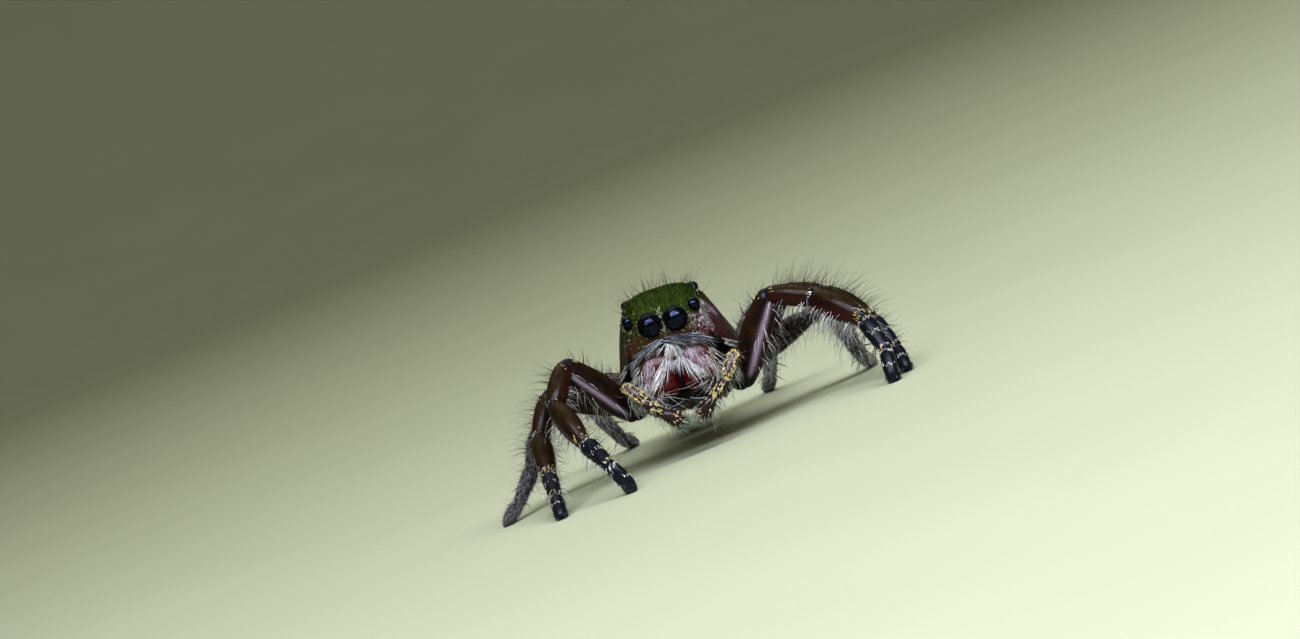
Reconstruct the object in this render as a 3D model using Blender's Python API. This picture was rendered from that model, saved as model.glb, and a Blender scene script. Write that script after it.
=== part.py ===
"""A giant jumping spider at life size, standing alert on a level floor and looking forwards.

The spider looks along -Y with +Z up, and its left side is +X. Sizes are in millimetres and become
metres where a mesh is made. The front of the body (carapace, eyes, jaws, palps and hips) is laid out
in its own frame, which the stance then tips a little nose down and to the left.
"""

import math
import random
from collections import namedtuple

import bmesh
import bpy
from mathutils import Matrix, Vector

MM = 0.001
GAP = 0.3  # between nodes that touch
EYE_GAP = 0.10  # between an eye and its socket
WELD = 0.0005  # points closer than this after a Boolean become one

# Stance of the front of the body in the row frame
BODY_AT = Vector((-0.26, -0.10, 5.22))
BODY_PITCH = 6.0  # nose down, degrees
BODY_ROLL = 5.5  # left side down, degrees

# Carapace, in the body frame: z = 0 is its margin at the widest place
FACE_Y = -4.3
REAR_Y = 4.1
CARAPACE_RINGS = 19
CARAPACE_SIDES = 26
# stations along the body: y, half width at the margin, narrowing to the top, top, margin, squareness
Station = namedtuple("Station", "y half_width taper top margin square")
CARAPACE = (
    Station(-4.30, 2.52, 0.10, 3.78, 1.42, 4.0),
    Station(-3.40, 2.82, 0.18, 4.10, 1.02, 4.0),
    Station(-2.20, 3.30, 0.30, 4.48, 0.55, 4.8),
    Station(-1.00, 3.62, 0.35, 4.56, 0.18, 4.8),
    Station(0.60, 3.66, 0.36, 3.98, 0.00, 2.7),
    Station(2.00, 3.35, 0.20, 3.20, 0.00, 2.5),
    Station(3.20, 2.55, 0.00, 2.20, 0.06, 2.3),
    Station(4.10, 1.35, 0.00, 0.95, 0.20, 2.2),
)

FACE_ARCH, ARCH_END_Y = 0.22, -2.1  # rise of the face's lower edge at the middle, and where it ends

# Eyes, in the body frame: half the spacing, y, z, radius, and the way they look (outwards, upwards)
Eye = namedtuple("Eye", "name x y z radius out up segments")
EYES = (
    Eye("front_middle", 0.75, -4.02, 3.13, 0.63, 2, 2, 16),
    Eye("front_side", 1.94, -3.62, 3.52, 0.37, 22, 4, 12),
    Eye("rear_small", 2.12, -2.36, 3.90, 0.16, 60, 30, 8),
    Eye("rear_side", 2.02, -1.10, 4.03, 0.30, 80, 30, 12),
)

# Jaws, in the body frame
JAW_HALF_SPACING = 1.22
JAW_TOP_Y, JAW_TIP_Y = -3.45, -3.50
JAW_TIP_Z = -1.30
JAW_HALF_WIDTH, JAW_HALF_DEPTH = 1.12, 1.08
JAW_CLEAR = 0.05  # beyond the gap, for the curve of the underside
JAW_SIDES = 14
JAW_TAPER_IN, JAW_BULGE = 0.22, 0.16  # the tips come together, and the front swells forwards
# share of the way down the jaw, and share of its thickness
JAW_PROFILE = ((0, 0.84), (0.07, 0.95), (0.25, 1), (0.5, 0.98), (0.74, 0.88), (0.92, 0.72), (1, 0.52))
FANG_RADIUS = 0.28

# Plates of the underside, in the body frame
STERNUM_FRONT_Y, STERNUM_REAR_Y = -1.75, 2.55
STERNUM_HALF_WIDTH = 1.22
STERNUM_TOP_Z, STERNUM_LOW_Z = -0.32, -1.95
MOUTH_Y, MOUTH_Z = -2.38, -1.75

# Abdomen in the row frame
ABDOMEN_AT = Vector((-1.35, 8.75, 4.05))
ABDOMEN_LENGTH = 9.2
ABDOMEN_HALF_WIDTH, ABDOMEN_HALF_HEIGHT = 2.95, 2.55
ABDOMEN_PITCH = 19.0  # tail down, degrees
ABDOMEN_YAW = 14.0  # tail to the right, degrees
ABDOMEN_SIDES, ABDOMEN_RINGS = 22, 15
# Spinnerets under the tail: half the spacing, height, droop in degrees, and size
SPINNERETS = ((0.30, -0.30, 6, 1.0), (0.26, -0.80, 24, 0.9))
SPINNERET_HALF, SPINNERET_LENGTH = (0.31, 0.20), 0.95
SPINNERET_SPREAD = 14.0  # outwards, degrees

# Legs: lengths of the segments beyond the hip, and how thick the leg is beside the first one
LegSize = namedtuple("LegSize", "femur patella tibia metatarsus tarsus stout")
LEG_SIZES = {
    1: LegSize(5.4, 2.8, 3.6, 2.5, 1.8, 1.00),
    2: LegSize(5.0, 2.6, 3.4, 2.4, 1.7, 0.92),
    3: LegSize(4.3, 1.9, 2.6, 2.4, 1.5, 0.82),
    4: LegSize(4.9, 2.2, 3.5, 3.4, 1.6, 0.84),
}
# half height and half width of each segment of the first leg
FEMUR_HALF = (0.90, 0.66)
PATELLA_HALF = (0.62, 0.58)
TIBIA_HALF = (0.76, 0.64)
METATARSUS_HALF = (0.52, 0.50)
TARSUS_HALF = (0.43, 0.42)
HIP_HALF = (0.58, 0.52)
LEG_SIDES = 8
# share of each segment's length, and share of its thickness there
HIP_PROFILE = ((0.0, 0.86), (0.18, 1.0), (0.5, 1.04), (0.72, 0.94))
FEMUR_PROFILE = ((0.10, 0.80), (0.24, 0.97), (0.45, 1.02), (0.64, 0.99), (0.80, 0.90))
PATELLA_PROFILE = ((0.36, 1.00), (0.60, 1.04), (0.82, 0.95))
TIBIA_PROFILE = ((0.16, 0.94), (0.38, 1.03), (0.62, 0.98), (0.84, 0.82))
METATARSUS_PROFILE = ((0.22, 1.06), (0.50, 0.98), (0.82, 0.84))
TARSUS_PROFILE = ((0.16, 1.0), (0.45, 1.05), (0.78, 1.0))
FOOT_CENTRE_Z = 0.24  # of the rounded foot, so that the floor cuts a small flat from it
TOE_ANGLES, TOE_SHARE = (10, 40, 65), 0.92  # the rings that round the foot off, and their thickness

# Hips, in the body frame: where each starts at the sternum and where it hands over to the femur
Hip = namedtuple("Hip", "start end")
HIPS = {
    1: Hip((1.45, -1.70, -1.00), (3.35, -2.35, -2.00)),
    2: Hip((1.62, -0.48, -1.00), (3.55, -0.72, -1.75)),
    3: Hip((1.62, 0.88, -1.00), (3.55, 1.10, -1.75)),
    4: Hip((1.40, 2.22, -1.00), (3.05, 3.05, -1.70)),
}

# Pose of each leg: heading (degrees forward of straight out) and rise of femur, patella, tibia
# and metatarsus. The tarsus keeps the heading that comes last and is set down on the floor.
LegPose = namedtuple("LegPose", "femur patella tibia metatarsus tarsus_heading")
LEG_POSES = {
    (1, "left"): LegPose((12, 52), (21, -22), (38, -36), (68, -53), 99),
    (1, "right"): LegPose((42, 52), (58, -38), (114, -42), (121, -38), 172),
    (2, "left"): LegPose((5, 45), (14, -20), (30, -44), (58, -54), 84),
    (2, "right"): LegPose((17, 28), (56, -45), (88, -38), (95, -25), 92),
    (3, "left"): LegPose((0, 17), (-30, 2), (-56, -78), (-84, -34), -81),
    (3, "right"): LegPose((4, 22), (-14, -35), (17, -54), (46, -37), 48),
    (4, "left"): LegPose((-71, 22), (-81, -1), (-108, -50), (-105, -32), -110),
    (4, "right"): LegPose((-50, 12), (-64, 4), (-92, -40), (-104, -42), -104),
}

# Palps, in the body frame, for the left side: centreline from mouth to tip, and half thickness.
# The cut between the two nodes is at the elbow, the highest place.
PALP_PATH = (
    (1.95, -2.75, -2.25, 0.27),
    (2.40, -3.05, -1.65, 0.38),
    (2.95, -3.42, -0.90, 0.40),
    (3.40, -3.85, -0.10, 0.34),
    (3.50, -4.25, 0.22, 0.31),
    (3.22, -4.68, -0.02, 0.36),
    (2.86, -4.95, -0.55, 0.39),
    (2.56, -5.05, -0.98, 0.31),
    (2.08, -5.14, -1.34, 0.35),
    (1.52, -5.14, -1.78, 0.29),
    (1.18, -5.12, -2.07, 0.38),
    (0.80, -5.06, -2.42, 0.43),
    (0.48, -5.00, -2.72, 0.34),
    (0.32, -4.96, -2.88, 0.18),
)
# How far inwards and up the right palp is held from the left one's mirror image, at each point
RIGHT_PALP_SHIFT = (
    (0.00, 0.00),
    (0.00, 0.00),
    (0.12, -0.05),
    (0.22, -0.10),
    (0.28, -0.18),
    (0.32, -0.10),
    (0.34, 0.03),
    (0.31, 0.12),
    (0.14, 0.08),
    (0.02, 0.00),
    (0.00, 0.00),
    (0.00, 0.00),
    (0.00, 0.00),
    (0.00, 0.00),
)
PALP_ELBOW = 4
PALP_SIDES = 10

# Locks of hair: flat and tapered, with the root sunk into what they grow from
LOCK_HALF_WIDTH, LOCK_HALF_THICK = 0.27, 0.25
LOCK_SINK = 0.32
LOCK_SOLVER = "MANIFOLD"  # EXACT leaves an open edge where two locks graze
LOCK_TAPER = (1.0, 0.86, 0.52)  # thickness at the root, part way and near the tip
LOCK_STEPS = (0.42, 0.34, 0.24)  # lengths between them, as shares of the whole lock

# Fringe under the legs: from and to along each segment, spacing, length and lean towards the body
Fringe = namedtuple("Fringe", "femur patella tibia spacing length lean")
FRONT_FRINGE = Fringe((0.26, 0.82), (0.66, 0.90), (0.12, 0.82), 0.42, 1.30, 0.95)
REAR_FRINGE = Fringe((0.28, 0.80), (0.60, 0.86), (0.16, 0.80), 0.52, 0.95, 0.85)
PATELLA_FRINGE = 0.62  # shorter there, so that it stays clear of the bent knee
FRINGE_SPREAD = 24.0  # to either side of straight down, degrees

# Hair band across the face under the front eyes, then along the edge of the carapace
BAND_X = (0.30, 0.85, 1.40, 1.95)
BAND_Z, BAND_DROP = 2.14, 0.08
BAND_LENGTH = 1.15
EDGE_Y = (-3.35, -2.55, -1.75)
EDGE_RISE = 0.42

# Bristles on end over the top of the head: half the spacing and y of each pair, and length
CREST = ((0.55, -2.75, 1.05), (1.30, -2.05, 1.20), (0.50, -1.25, 1.30), (1.35, -0.55, 1.25), (0.60, 0.15, 1.10))
CREST_HALF = 0.13

# Tufts down the front of each jaw: root across and below the jaw's top, length and outward lean
JAW_TUFTS = ((-0.78, 0.42, 1.45, 0.30), (-0.25, 0.62, 1.30, 0.42), (0.62, 0.40, 1.25, 0.05))

# Tufts under each palp: place along its path, and length
PALP_TUFTS = ((7, 0.75), (8, 0.85), (9, 0.80), (10, 0.80), (11, 0.75))
PALP_TUFT_SINK = 0.24

COLOURS = {
    "carapace": ((0.060, 0.022, 0.016), 0.25),
    "jaw": ((0.130, 0.018, 0.016), 0.25),
    "fang": ((0.012, 0.010, 0.012), 0.15),
    "eye": ((0.004, 0.005, 0.010), 0.05),
    "leg": ((0.085, 0.030, 0.016), 0.28),
    "foot": ((0.020, 0.016, 0.016), 0.30),
    "abdomen": ((0.070, 0.045, 0.032), 0.60),
    "underside": ((0.050, 0.028, 0.020), 0.50),
}


def clear_scene():
    """Remove whatever the startup file holds."""
    for obj in list(bpy.data.objects):
        bpy.data.objects.remove(obj)


def make_collection(name):
    """A new collection in the scene."""
    collection = bpy.data.collections.new(name)
    bpy.context.scene.collection.children.link(collection)
    return collection


def make_materials():
    """One plain Principled material for each finish."""
    made = {}
    for name, (colour, roughness) in COLOURS.items():
        material = bpy.data.materials.new(name)
        material.use_nodes = True
        shader = material.node_tree.nodes["Principled BSDF"]
        shader.inputs["Base Color"].default_value = (*colour, 1.0)
        shader.inputs["Roughness"].default_value = roughness
        shader.inputs["Metallic"].default_value = 0.0
        material.diffuse_color = (*colour, 1.0)
        made[name] = material
    return made


def body_frame():
    """From the body frame to the row frame, in millimetres."""
    roll = Matrix.Rotation(math.radians(BODY_ROLL), 4, "Y")
    pitch = Matrix.Rotation(math.radians(BODY_PITCH), 4, "X")
    return Matrix.Translation(BODY_AT) @ roll @ pitch


def abdomen_frame():
    """From the abdomen's frame, tail along +Y, to the row frame, in millimetres."""
    yaw = Matrix.Rotation(math.radians(ABDOMEN_YAW), 4, "Z")
    pitch = Matrix.Rotation(math.radians(-ABDOMEN_PITCH), 4, "X")
    return Matrix.Translation(ABDOMEN_AT) @ yaw @ pitch


def add_object(name, mesh_data, material, parent):
    """Put a finished bmesh into the model as a named object, laid out in its parent's frame."""
    mesh = bpy.data.meshes.new(name)
    bmesh.ops.recalc_face_normals(mesh_data, faces=mesh_data.faces)
    bmesh.ops.scale(mesh_data, vec=(MM, MM, MM), verts=mesh_data.verts)
    mesh_data.to_mesh(mesh)
    mesh_data.free()
    mesh.materials.append(material)
    mesh.shade_smooth()
    mesh.set_sharp_from_angle(angle=math.radians(50))
    obj = bpy.data.objects.new(name, mesh)
    obj.parent = parent
    MODEL.objects.link(obj)
    return obj


def loft(rings, dome=0.0, ends=None):
    """A closed skin over rings of points, with a fan over each end that bulges out by dome, or by ends."""
    skin = bmesh.new()
    rows = [[skin.verts.new(point) for point in points] for points in rings]
    count = len(rows[0])
    for near, far in zip(rows, rows[1:]):
        for i in range(count):
            j = (i + 1) % count
            skin.faces.new((near[i], near[j], far[j], far[i]))
    bulges = ends or (dome, dome)
    for near, inner, bulge in ((0, 1, bulges[0]), (-1, -2, bulges[1])):
        row = rows[near]
        centre = sum(rings[near], Vector()) / count
        outwards = (centre - sum(rings[inner], Vector()) / count).normalized()
        pole = skin.verts.new(centre + outwards * bulge)
        for i in range(count):
            skin.faces.new((row[i], row[(i + 1) % count], pole))
    return skin


def ring(centre, side, up, half_side, half_up, count, square=2.0):
    """Points of an oval in the plane of side and up; square above 2 makes it boxier."""
    points = []
    for i in range(count):
        angle = 2 * math.pi * (i + 0.5) / count
        across, rise = math.cos(angle), math.sin(angle)
        across = math.copysign(abs(across) ** (2 / square), across)
        rise = math.copysign(abs(rise) ** (2 / square), rise)
        points.append(centre + side * (half_side * across) + up * (half_up * rise))
    return points


def between(stations, y):
    """The station at y, smoothly between those of a table."""
    for low, high in zip(stations, stations[1:]):
        if y <= high.y:
            share = (y - low.y) / (high.y - low.y)
            share = share * share * (3 - 2 * share) * 0.35 + share * 0.65
            return Station(*(a + (b - a) * share for a, b in zip(low, high)))
    return stations[-1]


def face_arch(y):
    """How far the lower edge of the face rises at the middle, above its height at the sides."""
    return FACE_ARCH * max(0.0, min(1.0, (ARCH_END_Y - y) / (ARCH_END_Y - FACE_Y)))


def carapace_ring(y, shrink):
    """One section of the carapace, drawn in towards its middle by shrink."""
    at = between(CARAPACE, y)
    arch = face_arch(y)
    height = at.top - at.margin
    middle = Vector((0, y, at.margin + 0.52 * height))
    points = []
    for i in range(CARAPACE_SIDES):
        angle = 2 * math.pi * (i + 0.5) / CARAPACE_SIDES
        across = math.copysign(abs(math.cos(angle)) ** (2 / at.square), math.cos(angle))
        rise = max(0.0, math.sin(angle)) ** (2 / at.square)
        x = at.half_width * across * (1 - at.taper * rise)
        lift = arch * (1 - across * across) if rise == 0 else 0.0
        point = Vector((x, y, at.margin + height * rise + lift))
        points.append(middle + (point - middle) * shrink)
    return points


def carapace_shape():
    """The head and thorax shield: a steep flat face, a level eye field and a sloping rear."""
    rings = []
    for i in range(CARAPACE_RINGS):
        share = i / (CARAPACE_RINGS - 1)
        along = 0.5 - 0.5 * math.cos(math.pi * share)
        y = FACE_Y + (REAR_Y - FACE_Y) * (0.55 * along + 0.45 * share)
        from_face = (y - FACE_Y) / 0.55
        from_rear = (REAR_Y - y) / 0.50
        front = 0.84 + 0.16 * math.sqrt(max(0.0, 1 - (1 - min(1.0, from_face)) ** 2))
        rear = 0.55 + 0.45 * math.sqrt(max(0.0, 1 - (1 - min(1.0, from_rear)) ** 2))
        rings.append(carapace_ring(y, front * rear))
    return loft(rings, dome=0.08)


def eye_centres():
    """Name, centre and eye for all eight eyes, in the body frame."""
    for eye in EYES:
        for side_name, side in SIDES.items():
            yield f"eye_{eye.name}_{side_name}", Vector((side * eye.x, eye.y, eye.z)), eye, side


def make_carapace():
    """The carapace with a band of hair across the face and a socket cut for each eye."""
    obj = add_object("carapace", carapace_shape(), FINISH["carapace"], FRONT)
    combine(obj, face_locks() + crest_bristles(), "UNION", LOCK_SOLVER)
    sockets = []
    for _name, centre, eye, _side in eye_centres():
        socket = bmesh.new()
        bmesh.ops.create_uvsphere(
            socket, u_segments=eye.segments, v_segments=eye.segments // 2 + 2, radius=eye.radius + EYE_GAP
        )
        bmesh.ops.translate(socket, vec=centre, verts=socket.verts)
        sockets.append(socket)
    combine(obj, sockets, "DIFFERENCE")


def combine(obj, shapes, operation, solver="EXACT"):
    """Join closed shapes to an object, or cut them from it, with one Boolean on a collection."""
    tools = []
    for i, shape in enumerate(shapes):
        tool = add_object(f"{obj.name}_tool_{i}", shape, obj.data.materials[0], obj.parent)
        MODEL.objects.unlink(tool)
        CUTTERS.objects.link(tool)
        tool.hide_render = True
        tool.display_type = "WIRE"
        tools.append(tool)
    change = obj.modifiers.new("change", "BOOLEAN")
    change.operation = operation
    change.operand_type = "COLLECTION"
    change.solver = solver
    change.collection = CUTTERS
    bpy.context.view_layer.update()
    graph = bpy.context.evaluated_depsgraph_get()
    made = bpy.data.meshes.new_from_object(obj.evaluated_get(graph))
    obj.modifiers.clear()
    obj.data = made
    for tool in tools:
        bpy.data.objects.remove(tool)
    keep_largest(obj)


def keep_largest(obj):
    """Weld a cut mesh and drop every loose closed surface but the largest."""
    shape = bmesh.new()
    shape.from_mesh(obj.data)
    bmesh.ops.remove_doubles(shape, verts=shape.verts, dist=WELD * MM)
    bmesh.ops.dissolve_degenerate(shape, edges=shape.edges, dist=WELD * MM)
    groups, seen = [], set()
    for start in shape.verts:
        if start in seen:
            continue
        group, waiting = [], [start]
        seen.add(start)
        while waiting:
            vert = waiting.pop()
            group.append(vert)
            for edge in vert.link_edges:
                other = edge.other_vert(vert)
                if other not in seen:
                    seen.add(other)
                    waiting.append(other)
        groups.append(group)
    groups.sort(key=len)
    for group in groups[:-1]:
        bmesh.ops.delete(shape, geom=group, context="VERTS")
    shape.to_mesh(obj.data)
    shape.free()


def lock(root, out, lie, length, half_width=LOCK_HALF_WIDTH, half_thick=LOCK_HALF_THICK, sink=LOCK_SINK):
    """A flat tapered lock that leaves the surface along out and bends over towards lie."""
    across_lock = out.cross(lie).normalized()
    at = root - out * sink
    rings = []
    for i, (taper, step) in enumerate(zip(LOCK_TAPER, LOCK_STEPS)):
        way = out.lerp(lie, 0.45 * i).normalized()
        wide, thick = half_width * taper, half_thick * taper
        # four points at 45 degrees to the axes, so the oval is drawn larger by the root of two
        rings.append(ring(at, across_lock, across_lock.cross(way), wide * 1.41, thick * 1.41, 4))
        at = at + out.lerp(lie, 0.45 * i + 0.2).normalized() * ((length + sink) * step)
    tip = (at - sum(rings[-1], Vector()) / 4).length
    return loft(rings[::-1], 0.0, ends=(tip, 0.0))


def face_locks():
    """Locks swept sideways across the face under the front eyes, then back along the edge."""
    locks = []
    for side in SIDES.values():
        for i, x in enumerate(BAND_X):
            root = Vector((side * x, FACE_Y + 0.02, BAND_Z - BAND_DROP * i * i * 0.5))
            lie = Vector((side, -0.05, -0.16 - 0.10 * i)).normalized()
            locks.append(lock(root, Vector((0.35 * side, -0.94, -0.1)).normalized(), lie, BAND_LENGTH))
        for y in EDGE_Y:
            at = between(CARAPACE, y)
            root = Vector((side * at.half_width * 0.985, y, at.margin + EDGE_RISE))
            out = Vector((0.90 * side, 0.42, 0)).normalized()
            locks.append(lock(root, out, Vector((0.22 * side, 1.0, -0.22)).normalized(), 1.0))
    return locks


def crest_bristles():
    """Thin bristles that stand on end over the top of the head."""
    bristles = []
    for x, y, length in CREST:
        at = between(CARAPACE, y)
        fall = (1 - (x / (at.half_width * (1 - at.taper))) ** at.square) ** (1 / at.square)
        z = at.margin + (at.top - at.margin) * fall
        for side in SIDES.values():
            out = Vector((0.12 * side, -0.10, 1.0)).normalized()
            lie = Vector((0.16 * side, 0.30, 1.0)).normalized()
            bristles.append(lock(Vector((side * x, y, z)), out, lie, length, CREST_HALF, CREST_HALF))
    return bristles


def make_empty(name, frame, parent=None):
    """An empty that carries a frame given in millimetres."""
    empty = bpy.data.objects.new(name, None)
    MODEL.objects.link(empty)
    empty.empty_display_size = MM
    empty.parent = parent
    empty.location = frame.translation * MM
    empty.rotation_euler = frame.to_euler()
    return empty


def make_eyes():
    """Eight eyes, each a ball that sits in its socket with its pole looking outwards."""
    for name, centre, eye, side in eye_centres():
        ball = bmesh.new()
        bmesh.ops.create_uvsphere(
            ball, u_segments=eye.segments, v_segments=eye.segments // 2 + 2, radius=eye.radius
        )
        turn = Matrix.Rotation(math.radians(side * eye.out), 4, "Z")
        lift = Matrix.Rotation(math.radians(90 - eye.up), 4, "X")
        bmesh.ops.transform(ball, matrix=Matrix.Translation(centre) @ turn @ lift, verts=ball.verts)
        add_object(name, ball, FINISH["eye"], FRONT)


def underside_z(x, y):
    """Height of the carapace's underside."""
    at = between(CARAPACE, y)
    return at.margin + face_arch(y) * (1 - (x / at.half_width) ** 2)


def make_jaws():
    """Two stout jaws under the face, each with a fang folded in at its tip."""
    x, y = JAW_HALF_SPACING, JAW_TOP_Y
    slope = underside_z(x, y - 0.8) - underside_z(x, y + 0.8)
    tilt = underside_z(x + 0.5, y) - underside_z(x - 0.5, y)
    top_z = underside_z(x, y) - GAP - JAW_CLEAR
    for side_name, side in SIDES.items():
        rings = []
        for share, size in JAW_PROFILE:
            level = 1 - min(1.0, share * 2.2)
            centre = Vector(
                (
                    side * (JAW_HALF_SPACING - JAW_TAPER_IN * share * share),
                    JAW_TOP_Y + (JAW_TIP_Y - JAW_TOP_Y) * share - JAW_BULGE * math.sin(math.pi * share),
                    top_z + (JAW_TIP_Z - top_z) * share,
                )
            )
            out = Vector((1, 0, side * tilt * level)).normalized()
            back = Vector((0, 1, -slope / 1.6 * level)).normalized()
            half_width, half_depth = JAW_HALF_WIDTH * size, JAW_HALF_DEPTH * size
            rings.append(ring(centre, out, back, half_width, half_depth, JAW_SIDES, 2.5))
        jaw = add_object(f"jaw_{side_name}", loft(rings, 0.05), FINISH["jaw"], FRONT)
        tufts = []
        for x, below, length, lean in JAW_TUFTS:
            bulge = 1 - 0.30 * abs(x) ** 3
            front = JAW_TOP_Y - JAW_HALF_DEPTH * bulge
            root = Vector((side * (JAW_HALF_SPACING + x), front, top_z - below))
            lie = Vector((side * lean, -0.05, -1)).normalized()
            tufts.append(lock(root, Vector((0, -0.95, -0.3)).normalized(), lie, length))
        combine(jaw, tufts, "UNION", LOCK_SOLVER)
        make_fang(side_name, side)


def make_fang(side_name, side):
    """A curved tapering fang below one jaw, its point turned to the middle."""
    rings = []
    for i in range(6):
        share = i / 5
        angle = math.radians(8 + 70 * share)
        centre = Vector(
            (
                side * (1.22 - 1.02 * math.sin(angle)),
                JAW_TIP_Y + 0.14,
                JAW_TIP_Z - 0.62 - 0.34 * math.cos(angle) + 0.26,
            )
        )
        forwards = Vector((0, 1, 0))
        outwards = Vector((side * math.sin(angle), 0, math.cos(angle)))
        size = FANG_RADIUS * (1 - 0.72 * share)
        rings.append(ring(centre, forwards, outwards, size, size, 8))
    add_object(f"fang_{side_name}", loft(rings, 0.03), FINISH["fang"], FRONT)


def make_underside():
    """Sternum, mouth plates and the pedicel that carries the abdomen."""
    rings = []
    length = STERNUM_REAR_Y - STERNUM_FRONT_Y
    for i in range(9):
        share = i / 8
        wide = STERNUM_HALF_WIDTH * (0.30 + 0.70 * math.sin(math.pi * (0.10 + 0.80 * share)) ** 0.7)
        low = STERNUM_LOW_Z + 0.45 * (2 * share - 1) ** 2
        middle = (STERNUM_TOP_Z + low) / 2
        centre = Vector((0, STERNUM_FRONT_Y + length * share, middle))
        rings.append(
            ring(centre, Vector((1, 0, 0)), Vector((0, 0, 1)), wide, STERNUM_TOP_Z - middle, 14, 2.6)
        )
    add_object("sternum", loft(rings, 0.06), FINISH["underside"], FRONT)

    mouth = []
    for share, size in ((0.0, 0.5), (0.12, 0.85), (0.4, 1.0), (0.75, 0.9), (1.0, 0.6)):
        centre = Vector((0, MOUTH_Y, MOUTH_Z + 0.42 - 0.9 * share))
        mouth.append(ring(centre, Vector((1, 0, 0)), Vector((0, 1, 0)), 1.25 * size, 0.36 * size, 14, 2.4))
    add_object("mouth_plates", loft(mouth, 0.04), FINISH["underside"], FRONT)

    start = BODY @ Vector((0, STERNUM_REAR_Y + GAP + 0.08, -0.62))
    end = abdomen_frame() @ Vector((0, -ABDOMEN_LENGTH / 2 - GAP + 0.30, -0.95))
    axis = (end - start).normalized()
    side = Vector((1, 0, 0))
    stalk = [ring(start.lerp(end, s), side, side.cross(axis), 0.34, 0.34, 10) for s in (0.0, 0.5, 1.0)]
    add_object("pedicel", loft(stalk, 0.02), FINISH["underside"], SPIDER)


def abdomen_half(share):
    """Half width and half height factor of the abdomen, from its front (0) to its tail (1)."""
    blunt = 1 - (1 - min(1.0, share / 0.42)) ** 2.4
    tail = 1 - (max(0.0, share - 0.42) / 0.58) ** 2.2
    return max(0.0, blunt) ** 0.5 * max(0.0, tail) ** 0.62


def make_abdomen():
    """An egg shaped abdomen, flatter below, with a cluster of spinnerets under the tail."""
    rings = []
    for i in range(1, ABDOMEN_RINGS):
        share = 0.5 - 0.5 * math.cos(math.pi * i / ABDOMEN_RINGS)
        size = abdomen_half(share)
        centre = Vector((0, ABDOMEN_LENGTH * (share - 0.5), -0.35 * share * share))
        points = ring(
            centre,
            Vector((1, 0, 0)),
            Vector((0, 0, 1)),
            ABDOMEN_HALF_WIDTH * size,
            ABDOMEN_HALF_HEIGHT * size,
            ABDOMEN_SIDES,
            2.15,
        )
        for point in points:
            if point.z < centre.z:
                point.z = centre.z + 0.88 * (point.z - centre.z)
        rings.append(points)
    add_object("abdomen", loft(rings, 0.06), FINISH["abdomen"], REAR)

    base_y = ABDOMEN_LENGTH / 2 + GAP - 0.10
    cones = []
    for side in SIDES.values():
        for x, z, droop, size in SPINNERETS:
            cone = bmesh.new()
            bmesh.ops.create_cone(
                cone,
                cap_ends=True,
                segments=9,
                radius1=SPINNERET_HALF[0] * size,
                radius2=SPINNERET_HALF[1] * size,
                depth=SPINNERET_LENGTH * size,
            )
            spread = Matrix.Rotation(math.radians(-side * SPINNERET_SPREAD), 4, "Z")
            lay = Matrix.Rotation(math.radians(-90 - droop), 4, "X")
            at = Matrix.Translation((side * x, base_y + SPINNERET_LENGTH / 2, z))
            bmesh.ops.transform(cone, matrix=at @ spread @ lay, verts=cone.verts)
            cones.append(cone)
    spinnerets = add_object("spinnerets", cones[0], FINISH["abdomen"], REAR)
    combine(spinnerets, cones[1:], "UNION")


def direction(side, heading, rise):
    """Unit vector for a heading forward of straight out to one side, and a rise, in degrees."""
    h, r = math.radians(heading), math.radians(rise)
    return Vector((side * math.cos(h) * math.cos(r), -math.sin(h) * math.cos(r), math.sin(r)))


def across(side, heading):
    """Level unit vector square to a heading."""
    h = math.radians(heading)
    return Vector((math.sin(h), side * math.cos(h), 0))


# One joint of a limb: place, way along, way across, half height and half width there
Joint = namedtuple("Joint", "at along side half_up half_side")


def limb_joint(at, before, after, side, half_up, half_side):
    """A joint between two segments, mitred so that both meet it in one plane."""
    along = (before + after).normalized()
    bend = before.angle(after)
    stretch = min(1.3, 1 / math.cos(bend / 2))
    level = (side - along * side.dot(along)).normalized()
    return Joint(at, along, level, half_up * stretch, half_side)


def joint_ring(joint, shift, count):
    """The oval face of a joint, moved along the limb by shift."""
    up = joint.side.cross(joint.along)
    return ring(joint.at + joint.along * shift, joint.side, up, joint.half_side, joint.half_up, count)


def segment_rings(start, end, side, profile, half, count):
    """Ovals along one straight segment, from a profile of (share of length, share of thickness)."""
    along = (end - start).normalized()
    level = (side - along * side.dot(along)).normalized()
    up = level.cross(along)
    return [
        ring(start.lerp(end, share), level, up, half[1] * size, half[0] * size, count)
        for share, size in profile
    ]


def leg_points(number, side_name):
    """Joint places of one leg in the row frame, with the way along each segment and across it."""
    side = SIDES[side_name]
    hip, size, pose = HIPS[number], LEG_SIZES[number], LEG_POSES[number, side_name]
    start, end = (BODY @ Vector((side * x, y, z)) for x, y, z in hip)
    places, ways, sides = [start, end], [(end - start).normalized()], []
    heading = math.degrees(math.atan2(-ways[0].y, side * ways[0].x))
    sides.append(across(side, heading))
    for length, (heading, rise) in zip(size, pose[:4]):
        ways.append(direction(side, heading, rise))
        sides.append(across(side, heading))
        places.append(places[-1] + ways[-1] * length)
    drop = (places[-1].z - FOOT_CENTRE_Z) / size.tarsus
    ways.append(direction(side, pose.tarsus_heading, -math.degrees(math.asin(drop))))
    sides.append(across(side, pose.tarsus_heading))
    places.append(places[-1] + ways[-1] * size.tarsus)
    return places, ways, sides


def distance_to(point, start, end):
    """Distance from a point to a straight segment."""
    run = end - start
    share = max(0.0, min(1.0, (point - start).dot(run) / run.length_squared))
    return (point - start.lerp(end, share)).length


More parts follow.
